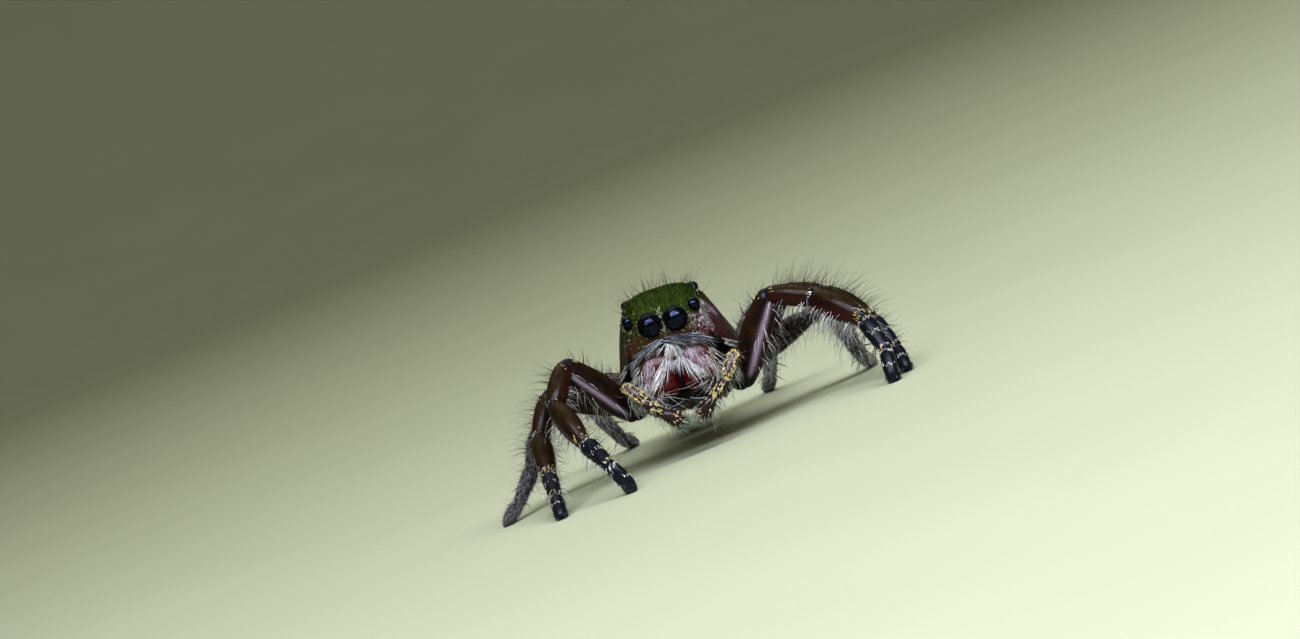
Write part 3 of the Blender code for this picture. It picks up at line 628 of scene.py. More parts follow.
class Finishes:
    """Every finish of the spider, made once."""

    def __init__(self) -> None:
        """Make the materials."""
        self.carapace = Shell(
            "polished_carapace",
            deep=(0.022, 0.012, 0.003),
            light=(0.050, 0.028, 0.005),
            # upper: olive green, partly the shield's own colour and partly a painted reflection of green
            # light from above
            upper=(0.012, 0.028, 0.0010),
            mark=(0.060, 0.010, 0.018),
            roughness=(0.26, 0.42), depth=0.008, coat=0.04, shine=0.07,
        ).material()
        self.jaw = Shell(
            "maroon_jaw",
            deep=(0.042, 0.008, 0.009),
            light=(0.070, 0.021, 0.022),
            # upper is painted light on the upper front; the painted pale violet highlight follows
            upper=(0.060, 0.021, 0.018),
            mark=(0.085, 0.002, 0.003),
            bloom=(0.36, 0.27, 0.32),
            roughness=(0.24, 0.38), depth=0.010,
        ).material()
        self.leg = Shell(
            "mahogany_leg",
            deep=(0.009, 0.0040, 0.0016),
            light=(0.027, 0.0105, 0.0030),
            # upper: painted light on the tops of the segments
            upper=(0.025, 0.0118, 0.0022),
            mark=(0.055, 0.0065, 0.0050),
            # dark: blue-black, its blue cast partly a painted sheen on the dark feet
            dark=(0.007, 0.009, 0.016),
            coat=0.10, shine=0.12,
        ).material()
        self.palp = Shell(
            "dark_palp",
            deep=(0.012, 0.0055, 0.0065),
            light=(0.034, 0.014, 0.014),
            # upper: painted light on the side that faces it; mark: a painted highlight on the patella
            upper=(0.038, 0.018, 0.020),
            mark=(0.30, 0.24, 0.27),
        ).material()
        self.underside = Shell(
            "brown_plate",
            deep=(0.020, 0.010, 0.008),
            light=(0.050, 0.026, 0.018),
            upper=(0.050, 0.026, 0.018),
            roughness=(0.4, 0.6), coat=0.1,
        ).material()
        self.membrane = SoftSkin("joint_skin", (0.020, 0.012, 0.011), (0.055, 0.036, 0.032)).material()
        self.abdomen = SoftSkin("abdomen_skin", (0.030, 0.017, 0.010), (0.070, 0.043, 0.026), 0.3).material()
        self.eye = EyeGlass().material()
        self.horn = Horn("black_horn").material()
        self.hair = CoatFinish("hair").material()
        self.cap = CoatFinish("cap_hair", 0.8, 0.0, 0.0).material()
        self.scale = CoatFinish("bright_scales", 0.30, 0.35, 0.5).material()


# Coats


@dataclass
class Roots:
    """Where hairs are rooted: place, the skin's outward normal, the way the coat lies, and the
    place on the skin's unwrap."""

    point: Array
    normal: Array
    way: Array
    spot: Array

    def laid(self, way: Way, keep: float = 0.0) -> "Roots":
        """The same roots with another lie, keeping a share of the old one."""
        way = unit(np.broadcast_to(way, self.normal.shape) + self.way * keep)
        return replace(self, way=flattened(way, self.normal))


def flattened(way: Array, normal: Array) -> Array:
    """Ways laid into the plane of the skin."""
    return unit(way - normal * (way * normal).sum(-1, keepdims=True))


def scatter(shape: Shape, count: int, weight: Array, rng: np.random.Generator) -> Roots:
    """Pick places for hairs at random over a skin.

    Args:
        shape: The skin, which carries "way" and "spot".
        count: How many places.
        weight: How thickly they stand at each of the skin's points.
        rng: Source of the random draw.

    Returns:
        The roots.
    """
    corners = shape.points[shape.quads]
    cross = np.cross(corners[:, 2] - corners[:, 0], corners[:, 3] - corners[:, 1])
    chance = np.linalg.norm(cross, axis=1) * np.asarray(weight, float)[shape.quads].mean(1)
    pick = rng.choice(len(cross), count, p=chance / chance.sum())
    a, b = rng.random((2, count, 1))
    share = np.stack([(1 - a) * (1 - b), a * (1 - b), a * b, (1 - a) * b], axis=1)
    point = (corners[pick] * share).sum(1)
    normal = unit(cross[pick])
    chosen = shape.quads[pick, 0]
    way = flattened(shape.values["way"][chosen], normal)
    return Roots(point, normal, way, shape.values["spot"][chosen])


@dataclass(frozen=True)
class Hair:
    """One kind of hair or scale.

    Fields: length from and to, width, tints; erect, how far it stands up at its root; lie, how
    far its tip has turned to the way of the coat; spread, a random turn; droop, how far the tip
    hangs; thick, thickness as a share of width; sink, how deep the root goes.
    """

    length: tuple[float, float]
    width: float
    tints: tuple[Colour, ...]
    erect: float = 0.5
    lie: float = 0.8
    spread: float = 0.12
    droop: float = 0.0
    thick: float = 1.0
    sink: float = 0.03
    steps: int = 3
    slip: Slip = Slip.HAIR
    uneven: float = 0.15

    def grow(self, roots: Roots, rng: np.random.Generator) -> Shape:
        """Grow one slip from each root.

        Args:
            roots: Where they stand.
            rng: Source of the random draw.

        Returns:
            The slips as one shape, with "tint" and "spot" for the coat map.
        """
        n, corners = len(roots.point), len(self.slip.angles)
        first, last = rng.normal(0, self.spread, (2, n, 3))
        out = unit(roots.normal * self.erect + roots.way * (1 - self.erect) + first)
        out = unit(out + roots.normal * np.maximum(0, 0.15 - (out * roots.normal).sum(1, keepdims=True)))
        lie = unit(roots.way * self.lie + roots.normal * (1 - self.lie) + last - np.array((0, 0, self.droop)))
        length = rng.uniform(*self.length, (n, 1))
        root = roots.point - out * self.sink
        bend = root + out * (length * 0.5 + self.sink)
        tip = bend + lie * length * 0.5
        share = np.linspace(0, 1, self.steps + 1)[:-1, None, None]
        centre = (1 - share) ** 2 * root + 2 * share * (1 - share) * bend + share**2 * tip
        along = unit((1 - share) * (bend - root) + share * (tip - bend))
        side = unit(np.cross(out + lie, roots.normal) + rng.normal(0, 0.02, (n, 3)))
        side = unit(side - along * (side * along).sum(-1, keepdims=True))
        up = np.cross(along, side)
        half = self.width / 2 * self.slip.girth(share[:, 0, 0])[:, None, None, None]
        angles = self.slip.angles[:, None]
        ring = side[:, :, None] * np.cos(angles) + up[:, :, None] * (np.sin(angles) * self.thick)
        rings = (centre[:, :, None] + ring * half).transpose(1, 0, 2, 3).reshape(n, -1, 3)
        points = np.concatenate([rings, tip[:, None]], axis=1)
        tint = np.array(self.tints)[rng.integers(len(self.tints), size=n)]
        tint = np.clip(tint * (1 + self.uneven * rng.normal(0, 1, (n, 1))), 0.0005, 0.95)
        patch = np.concatenate([np.cos(self.slip.angles), [0.0]]) * 0.5
        across = np.append(np.tile(patch[:-1], self.steps), 0.0)
        down = np.append(np.repeat(share[:, 0, 0], corners), 1.0) - 0.5
        spot = roots.spot[:, None] * (1 - 2 * PATCH) + PATCH + np.stack([across, down], axis=1) * PATCH
        return Shape(
            points.reshape(-1, 3),
            *self.faces(n, corners),
            {"tint": np.repeat(tint, points.shape[1], axis=0), "spot": spot.reshape(-1, 2)},
        )

    def faces(self, count: int, corners: int) -> tuple[Array, Array]:
        """Number the corners of the faces.

        Args:
            count: How many slips.
            corners: How many corners their sections have.

        Returns:
            The four-sided faces and the three-sided ones.
        """
        size = self.steps * corners + 1
        ring = np.arange(corners)
        nxt = np.roll(ring, -1)
        rows = np.arange(self.steps - 1)[:, None] * corners
        quads = np.stack([rows + ring, rows + nxt, rows + nxt + corners, rows + ring + corners], axis=-1)
        quads = quads.reshape(-1, 4)
        end = (self.steps - 1) * corners
        tris = np.stack([end + ring, end + nxt, np.full(corners, size - 1)], axis=-1)
        if corners == 3:
            tris = np.concatenate([tris, [[2, 1, 0]]])
        else:
            quads = np.concatenate([quads, [[3, 2, 1, 0]]])
        starts = np.arange(count)[:, None, None] * size
        return (quads + starts).reshape(-1, 4), (tris + starts).reshape(-1, 3)


WHITE = (0.94, 0.93, 0.90)
SILVER = (0.42, 0.42, 0.46)
CREAM = (0.74, 0.68, 0.54)
GOLD = (0.88, 0.62, 0.14)
OLIVE = (0.028, 0.050, 0.003)
BLACK = (0.008, 0.007, 0.007)
BROWN = (0.045, 0.022, 0.012)
GREY = (0.27, 0.25, 0.24)


@dataclass
class SubAssembly:
    """What every sub-assembly is made with: the finishes, and the one source of random draws."""

    finishes: Finishes
    rng: np.random.Generator

    def sow(self, kind: Hair, shape: Shape, count: int, weight: Array, way: Way | None = None) -> Shape:
        """Grow hairs of one kind at random over a skin.

        Args:
            kind: The kind.
            shape: The skin.
            count: How many hairs.
            weight: How thickly they stand at each of the skin's points.
            way: The way they lie, where it isn't the skin's own.

        Returns:
            The hairs as one shape.
        """
        roots = scatter(shape, count, weight, self.rng)
        if way is not None:
            roots = roots.laid(way)
        return kind.grow(roots, self.rng)


# Head


@dataclass(frozen=True)
class Eye:
    """One pair of eyes: half spacing, y and z of the ball's centre, ball radius, the radius that
    shows past the rim, and the way it looks (outwards and upwards, degrees)."""

    name: str
    x: float
    y: float
    z: float
    ball: float
    shown: float
    out: float
    up: float

    def centre(self, side: Side) -> Array:
        """Centre of the ball, in the body's frame."""
        return np.array((side.value * self.x, self.y, self.z))

    def look(self, side: Side) -> Array:
        """The way it looks, in the body's frame."""
        out, up = math.radians(self.out), math.radians(self.up)
        return np.array(
            (side.value * math.sin(out) * math.cos(up), -math.cos(out) * math.cos(up), math.sin(up))
        )

    def ways(self, side: Side) -> tuple[Array, Array, Array]:
        """The eye's own three ways.

        Args:
            side: Which eye of the pair.

        Returns:
            The way it looks, the level way square to that, and the upward one.
        """
        look = self.look(side)
        level = unit(np.cross(UPWARDS, look))
        return look, level, np.cross(look, level)

    def rim(self) -> float:
        """How far in front of the centre the rim meets the ball."""
        return math.sqrt(self.ball**2 - self.shown**2)


EYES = (
    Eye("front_middle", 0.75, -4.02, 3.13, 0.72, 0.665, 2, 2),
    Eye("front_side", 1.94, -3.62, 3.52, 0.42, 0.385, 24, 6),
    Eye("rear_small", 2.12, -2.36, 3.90, 0.17, 0.14, 60, 30),
    Eye("rear_side", 2.02, -1.10, 4.03, 0.32, 0.27, 80, 30),
)


@dataclass
class Head(SubAssembly):
    """The shield over head and thorax with its eyes, the hair of the face and the cheek scales.

    Fields: stations as (y, half width, taper, top, margin, squareness); y of the face and the
    rear; how far each end is drawn in at its rounded edge, and how long that edge is; how far the
    face bulges and its lower edge arches; how many points lie round a ring; the rings and sides of
    a lens; height of the band of hair; start and end of the painted highlight on the cheek; height
    of the stripes.
    """

    stations: Keys = (
        (-4.30, 2.52, 0.10, 3.78, 1.36, 4.0), (-3.40, 2.84, 0.18, 4.10, 0.78, 4.0),
        (-2.20, 3.36, 0.30, 4.48, 0.10, 4.4), (-1.00, 3.70, 0.34, 4.56, -0.26, 4.2),
        (0.60, 3.70, 0.34, 4.02, -0.26, 2.8), (2.00, 3.35, 0.20, 3.20, -0.10, 2.5),
        (3.20, 2.55, 0.00, 2.20, 0.00, 2.3), (4.10, 1.35, 0.00, 0.95, 0.20, 2.2),
    )
    face_y: float = -4.30
    rear_y: float = 4.10
    face_edge: tuple[float, float] = (0.84, 0.55)
    rear_edge: tuple[float, float] = (0.55, 0.50)
    bulge: float = 0.10
    arch: float = 0.22
    arch_end: float = -2.1
    sides: int = 300
    lens_grid: tuple[int, int] = (40, 56)
    band_z: float = 2.06
    bloom_line: tuple[tuple[float, ...], ...] = ((2.35, -2.75, 3.40), (2.90, -1.80, 2.45))
    stripes_above: tuple[float, float] = (0.42, 0.14)
    shape: Shape = field(init=False)

    def rows(self) -> Array:
        """Place the rings, from the middle of the face to the middle of the rear.

        Returns:
            Rows of y and shrink.
        """
        face, rear = self.face_edge, self.rear_edge
        f = np.linspace(0.03, 1, 60)
        rows = [np.stack([self.face_y - self.bulge * (1 - f * f), face[0] * f], axis=1)]
        turn = np.linspace(0, math.pi / 2, 20)[1:]
        y = self.face_y + face[1] * (1 - np.cos(turn))
        rows.append(np.stack([y, face[0] + (1 - face[0]) * np.sin(turn)], axis=1))
        y = np.linspace(self.face_y + face[1], self.rear_y - rear[1], 160)[1:]
        rows.append(np.stack([y, np.ones_like(y)], axis=1))
        y = self.rear_y - rear[1] * (1 - np.cos(turn[::-1]))
        rows.append(np.stack([y, rear[0] + (1 - rear[0]) * np.sin(turn[::-1])], axis=1))
        f = np.linspace(1, 0.05, 9)[1:]
        rows.append(np.stack([self.rear_y + 0.08 * (1 - f * f), rear[0] * f], axis=1))
        return np.concatenate(rows)

    def section(self, y: float, shrink: float) -> Array:
        """One ring of the shield, evenly spaced along its outline.

        Args:
            y: Where the ring is.
            shrink: How much it is drawn in.

        Returns:
            Rows of x, y, z and the share of the height.
        """
        half, taper, top, margin, square = curve(self.stations, np.clip(y, self.face_y, self.rear_y))
        angle = np.linspace(0, 2 * math.pi, 5 * self.sides)
        across = np.sign(np.cos(angle)) * np.abs(np.cos(angle)) ** (2 / square)
        rise = np.maximum(0, np.sin(angle)) ** (2 / square)
        arch = self.arch * np.clip((self.arch_end - y) / (self.arch_end - self.face_y), 0, 1)
        lift = np.where(rise == 0, arch * (1 - across**2), 0) - 0.05 * np.maximum(0, -np.sin(angle))
        x = half * across * (1 - taper * rise)
        z = margin + (top - margin) * rise + lift
        middle = margin + 0.52 * (top - margin)
        line = np.stack([x * shrink, np.full_like(x, y), middle + (z - middle) * shrink, rise], axis=1)
        step = np.linalg.norm(np.diff(line[:, :3], axis=0), axis=1)
        length = np.concatenate([[0], np.cumsum(step)])
        at = np.linspace(0, length[-1], self.sides + 1)[:-1]
        return np.stack([np.interp(at, length, line[:, i]) for i in range(4)], axis=1)

    def eyed(self, points: Array) -> tuple[Array, Array]:
        """Press the sockets of the eyes into the skin and raise a rim round each.

        Args:
            points: Points of the shield in the body's frame.

        Returns:
            The changed points, and how near each is to a rim, 0 to 1.
        """
        near = np.zeros(len(points))
        for eye in EYES:
            for side in Side:
                centre, look = eye.centre(side), eye.look(side)
                away = points - centre
                ahead = away @ look
                level = away - ahead[:, None] * look
                radius = np.linalg.norm(level, axis=1)
                here = ahead > -0.6 * eye.ball
                width = 0.30 * eye.shown
                pull = bell(radius, eye.shown, width) * here
                target = eye.rim() + 0.03 - 0.25 * np.maximum(0, radius - eye.shown)
                new = ahead + (target - ahead) * 0.85 * pull
                inside = ease(eye.shown * 1.03, eye.shown * 0.93, radius) * here
                cup = np.sqrt(np.maximum(0.05, eye.ball**2 - np.minimum(radius, eye.shown) ** 2)) - 0.12
                new = new + (np.minimum(new, cup) - new) * inside
                points = points + (new - ahead)[:, None] * look
                rim = bell(radius, eye.shown * 1.04, 0.13 * eye.shown) * here
                near = np.maximum.reduce([near, rim, inside])
        return points, near

    def build(self) -> Shape:
        """Make the shield's skin.

        Returns:
            The skin in the body's frame, with its markings.
        """
        rings = np.stack([self.section(y, shrink) for y, shrink in self.rows()])
        flat = rings[..., :3].reshape(-1, 3)
        rise = rings[..., 3].reshape(-1)
        x, y, z = flat.T
        groove = np.exp(-(((y - 0.1) / 0.8) ** 2) - ((np.abs(x) - 1.6) / 0.7) ** 2) * ease(0.5, 0.9, rise)
        pit = np.exp(-(((y - 0.5) / 0.35) ** 2) - (x / 0.12) ** 2) * ease(0.5, 0.9, rise)
        flat = flat - np.outer(0.10 * groove + 0.10 * pit, UPWARDS)
        flat, near = self.eyed(flat)
        margin = curve([(row[0], row[4]) for row in self.stations], y)
        above = z - margin
        # top: olive green over the shield, partly its own colour and partly a painted reflection of green
        # light from above; on the spider's right it runs lower down the flank as more painted reflection
        top = ease(0.50, 0.86, rise) * ease(2.2, 0.2, y)
        top = top + 0.45 * ease(0.3, -1.0, x) * ease(0.9, 1.8, above) * ease(-0.8, -2.4, y)
        # the spider's left side is the lit one: the maroon cheek and the painted highlight are full there and
        # weak on the shaded right
        lit_side = np.where(x > 0, 1.0, 0.3)
        cheek = ease(0.5, -0.6, y) * ease(3.6, 3.0, z) * ease(1.5, 2.1, np.abs(x)) * lit_side
        left = np.stack([np.abs(x), flat[:, 1], flat[:, 2]], axis=1)
        # painted highlight: a pale violet sheen along a line on the cheek behind the side eye
        from_line, _share = near_line(left, *self.bloom_line)
        bloom = 0.75 * bell(from_line, 0, 0.30) * lit_side
        stripes = ease(0.56, 0.50, above) * ease(-0.6, -1.2, y) * ease(2.2, 2.6, np.abs(x))
        shade = 0.65 * ease(-2.4, -1.1, y) * ease(0.80, 0.60, rise)
        dark = np.maximum.reduce([near, shade, 0.85 * ease(0.12, 0.02, above), 0.95 * stripes])
        back = unit(np.stack([0.05 * x, np.ones_like(x), -0.25 * ease(0.8, 0.4, rise)], axis=1))
        values = {"top": np.clip(top, 0, 1), "mark": 0.9 * cheek, "bloom": bloom}
        values |= {"dark": dark, "rise": rise, "above": above}
        rows, back = (table.reshape(rings.shape[:2] + (3,)) for table in (flat, back))
        return skin(rows, way=back, **{key: value.reshape(rings.shape[:2]) for key, value in values.items()})

    def eye_balls(self) -> None:
        """Make the eight lenses."""
        rings, sides = self.lens_grid
        tilt = np.linspace(0.03, math.pi - 0.03, rings)
        for eye in EYES:
            for side in Side:
                look, level, up = eye.ways(side)
                size = eye.ball * np.sin(tilt)
                centre = eye.centre(side) + look * (eye.ball * np.cos(tilt))[:, None]
                ball = skin(oval(centre, level, up, size[:, None], turn_about(sides)))
                name = f"eye_{eye.name}_{side.word}"
                make_piece("lens_" + name, ball.carried(BODY), self.finishes.eye, [name])

    def rim_scales(self) -> Iterator[Shape]:
        """Small pale scales that ring the eyes.

        Returns:
            The scales, in shapes.
        """
        for eye, count in zip(EYES, (130, 80, 26, 56)):
            for side in Side:
                look, level, up = eye.ways(side)
                turn = self.rng.uniform(0, 2 * math.pi, count)
                patchy = 0.5 + 0.5 * np.sin(3 * turn + side.value) * np.sin(7 * turn + 1)
                turn = turn[self.rng.random(count) < patchy * ease(0.9, 0.2, np.sin(turn))]
                radial = level * np.cos(turn)[:, None] + up * np.sin(turn)[:, None]
                radius = eye.shown * self.rng.uniform(1.02, 1.22, (len(turn), 1))
                point = eye.centre(side) + look * (eye.rim() + 0.01) + radial * radius
                spot = np.full((len(turn), 2), 0.1) + radial[:, [0, 2]] * 0.02
                way = flattened(radial + up * 0.25, np.broadcast_to(look, radial.shape))
                roots = Roots(point, unit(look + radial * 0.3), way, spot)
                tints = (CREAM, WHITE, (0.40, 0.32, 0.18), (0.26, 0.22, 0.16))
                if eye.name.startswith("rear"):
                    tints = ((0.55, 0.44, 0.42), (0.30, 0.22, 0.20), CREAM)
                kind = Hair((0.08, 0.22), 0.022, tints, 0.35, 0.75, 0.40, thick=0.5, slip=Slip.SCALE)
                yield kind.grow(roots, self.rng)

    def face_hair(self) -> Iterator[Shape]:
        """The grey band swept sideways under the eyes, and longer hair along the edge of the face.

        Returns:
            The hair, in shapes.
        """
        x, y, z = self.shape.points.T
        front = ease(-3.7, -4.1, y) * ease(2.1, 1.6, np.abs(x))
        line = z - (self.band_z - 0.05 * x * x - 0.011 * x**4 - 0.16 * np.maximum(0, -x - 0.8))
        dim = ((0.10, 0.10, 0.125), (0.18, 0.18, 0.22), (0.035, 0.035, 0.045))
        lit = ((0.40, 0.42, 0.49), (0.25, 0.26, 0.32), (0.68, 0.69, 0.74))
        for count, length, width, tints, rise in (
            (620, (0.6, 1.1), 0.034, dim, 0.16),
            (180, (0.7, 1.4), 0.042, lit, 0.24),
            (80, (0.7, 1.3), 0.044, (BLACK, (0.03, 0.03, 0.035)), 0.24),
        ):
            thin = 0.18 - 0.025 * np.abs(x)
            band = scatter(self.shape, count, front * np.exp(-((line / thin) ** 4)), self.rng)
            out = np.where(band.point[:, 0] < -0.25, -1.0, 1.0)
            fall = -0.10 - 0.26 * np.abs(band.point[:, 0])
            fall = fall + self.rng.normal(0, 0.12, len(out))
            way = np.stack([out, -0.05 * np.ones_like(out), fall], axis=1)
            kind = Hair(length, width, tints, rise, 0.9, 0.07, 0.10, steps=5)
            yield kind.grow(band.laid(way), self.rng)
        edge = scatter(self.shape, 110, front * bell(line, -0.27, 0.09), self.rng)
        out = np.sign(edge.point[:, :1])
        way = np.concatenate([out * 0.8, -0.3 * np.abs(out), -0.55 - 0.1 * np.abs(out)], axis=1)
        kind = Hair((0.35, 0.75), 0.034, (SILVER, WHITE, (0.2, 0.19, 0.22)), 0.35, 0.85, 0.12, 0.25, steps=4)
        yield kind.grow(edge.laid(way), self.rng)
        middle = front * ease(0.34, 0.16, np.abs(x - 0.06)) * bell(line, -0.36, 0.12)
        tufts = ((70, (0.60, 1.0), -0.04), (44, (0.7, 1.2), 0.38), (60, (1.0, 1.6), 0.64))
        for count, length, aside in tufts:
            apex = scatter(self.shape, count, middle, self.rng)
            way = np.where(apex.point[:, :1] > 0.06, (aside, -0.42, -1.0), (-1.15 * aside, -0.42, -1.0))
            way = way + self.rng.normal(0, 0.12, (len(way), 1)) * (1, 0, 0)
            tints = (WHITE, WHITE, WHITE, SILVER, (0.16, 0.11, 0.12))
            kind = Hair(length, 0.032, tints, 0.36, 0.85, 0.10, 0.1, steps=5)
            yield kind.grow(apex.laid(way, 0.8), self.rng)

    def cheek_scales(self) -> Iterator[Shape]:
        """White specks under the side eyes and two pale stripes along the edge of the shield.

        Returns:
            The scales, in shapes.
        """
        x, y, z = self.shape.points.T
        above = self.shape.values["above"]
        region = bell(z, 2.55, 0.50) * ease(1.25, 1.75, np.abs(x)) * ease(-3.0, -3.7, y)
        region = region * np.where(x > 0, 1.0, 0.10) * (self.shape.values["dark"] < 0.3)
        patches = 0.15 + ease(0.1, 0.7, np.sin(9 * z + 4 * y) * np.sin(7 * y - 5 * z))
        tints = (WHITE, (0.66, 0.58, 0.62), (0.34, 0.27, 0.30), (0.50, 0.42, 0.46))
        speck = Hair((0.08, 0.20), 0.022, tints, 0.22, 0.92, 0.16, steps=2)
        yield self.sow(speck, self.shape, 620, region * patches, (-0.5, -0.3, -1.0))
        # pale violet scales beside the side eye, a painted highlight in the coat where the shell catches the
        # light
        high = bell(z, 3.05, 0.38) * ease(2.0, 2.3, x) * ease(-2.4, -3.0, y)
        sheen_hair = Hair((0.14, 0.28), 0.024, ((0.46, 0.38, 0.44), (0.26, 0.20, 0.23), WHITE), 0.25, 0.9, 0.12)
        yield self.sow(sheen_hair, self.shape, 240, high, (0.2, 0.6, -1.0))
        tints = (WHITE, WHITE, CREAM)
        stripe = Hair((0.16, 0.26), 0.036, tints, 0.12, 0.97, 0.08, thick=0.35, slip=Slip.SCALE)
        reach = ease(-0.9, -1.4, y) * ease(-3.15, -3.0, y)
        for height in self.stripes_above:
            row = reach * bell(above, height, 0.030)
            yield self.sow(stripe, self.shape, 260, row)

    def top_hair(self) -> Iterator[Shape]:
        """Short hair lying back over the shield, and gold, pale and thin dark hairs on end.

        Returns:
            The hair, in shapes.
        """
        x, y, z = self.shape.points.T
        values = self.shape.values
        clear = values["dark"] < 0.35
        top = values["top"] * clear
        # the green of this hair is partly its own colour and partly a painted reflection of green light from
        # above, as on the shield's top
        greens = (OLIVE, (0.050, 0.080, 0.004), (0.012, 0.024, 0.002))
        short = Hair((0.16, 0.30), 0.030, greens, 0.16, 0.94, 0.12)
        yield self.sow(short, self.shape, 4200, top)
        moss = replace(short, tints=((0.070, 0.110, 0.004), (0.05, 0.08, 0.004)))
        low = top * ease(-1.8, -3.2, y)
        yield self.sow(moss, self.shape, 420, low)
        rest = clear * (values["above"] > 0.25) * (1 - 0.8 * values["top"]) * ease(-4.2, -2.5, y)
        brown = Hair((0.14, 0.28), 0.026, (BROWN, BLACK, (0.10, 0.05, 0.03)), 0.14, 0.94, 0.12)
        yield self.sow(brown, self.shape, 1500, rest + 0.15 * ease(1.5, 3.5, y) * clear)
        forehead = clear * bell(z, 3.75, 0.45) * ease(-2.8, -3.6, y)
        forehead = forehead * ease(2.1, 1.6, np.abs(x))
        gold = Hair((0.22, 0.42), 0.024, ((0.45, 0.36, 0.05), (0.62, 0.48, 0.08)), 0.4, 0.85, 0.35, steps=4)
        yield self.sow(gold, self.shape, 9, forehead)
        between = clear * np.exp(-((x / 0.16) ** 2) - ((z - 3.15) / 0.6) ** 2) * ease(-3.8, -4.2, y)
        pale = Hair((0.16, 0.34), 0.028, (CREAM, (0.40, 0.32, 0.18), WHITE), 0.5, 0.7, 0.3)
        yield self.sow(pale, self.shape, 40, between, (0, -0.1, 1.0))
        stand = clear * ease(0.72, 0.95, values["rise"]) * ease(1.6, 0.2, y)
        dark = Hair((0.75, 1.55), 0.026, (BLACK, (0.03, 0.025, 0.02)), 0.9, 0.35, 0.16, steps=5)
        yield self.sow(dark, self.shape, 120, stand)

    def make(self) -> None:
        """Build and dress the head."""
        self.shape = self.build()
        make_piece("head_shell", self.shape.carried(BODY), self.finishes.carapace, ["carapace"])
        self.eye_balls()
        coats = {
            "coat_face": ([*self.face_hair()], self.finishes.hair),
            "coat_head": ([*self.top_hair()], self.finishes.cap),
            "scales_head": ([*self.rim_scales(), *self.cheek_scales()], self.finishes.scale),
        }
        for name, (grown, finish) in coats.items():
            make_piece(name, Shape.joined(grown).carried(BODY), finish, coat=True)


# Jaws and palps


def swept(path: Array, side: Array) -> tuple[Array, Array, Array]:
    """Ways along and across a path, carried on from ring to ring so that nothing twists.

    Args:
        path: Points of the path.
        side: Roughly the first way across.

    Returns:
        Unit rows along, to the side and up.
    """
    along = unit(np.gradient(path, axis=0))
    sides = np.empty_like(path)
    for i, way in enumerate(along):
        side = unit(side - way * (side @ way))
        sides[i] = side
    return along, sides, np.cross(sides, along)


def near_line(points: Array, start: Way, end: Way) -> tuple[Array, Array]:
    """Measure points against a line.

    Args:
        points: The points.
        start, end: The line's ends.

    Returns:
        Distance of the points from the line, and their place along it, 0 to 1.
    """
    start, end = np.asarray(start), np.asarray(end)
    run = end - start
    share = ((points - start) @ run) / (run @ run)
    return np.linalg.norm(points - start - np.clip(share, 0, 1)[:, None] * run, axis=1), share


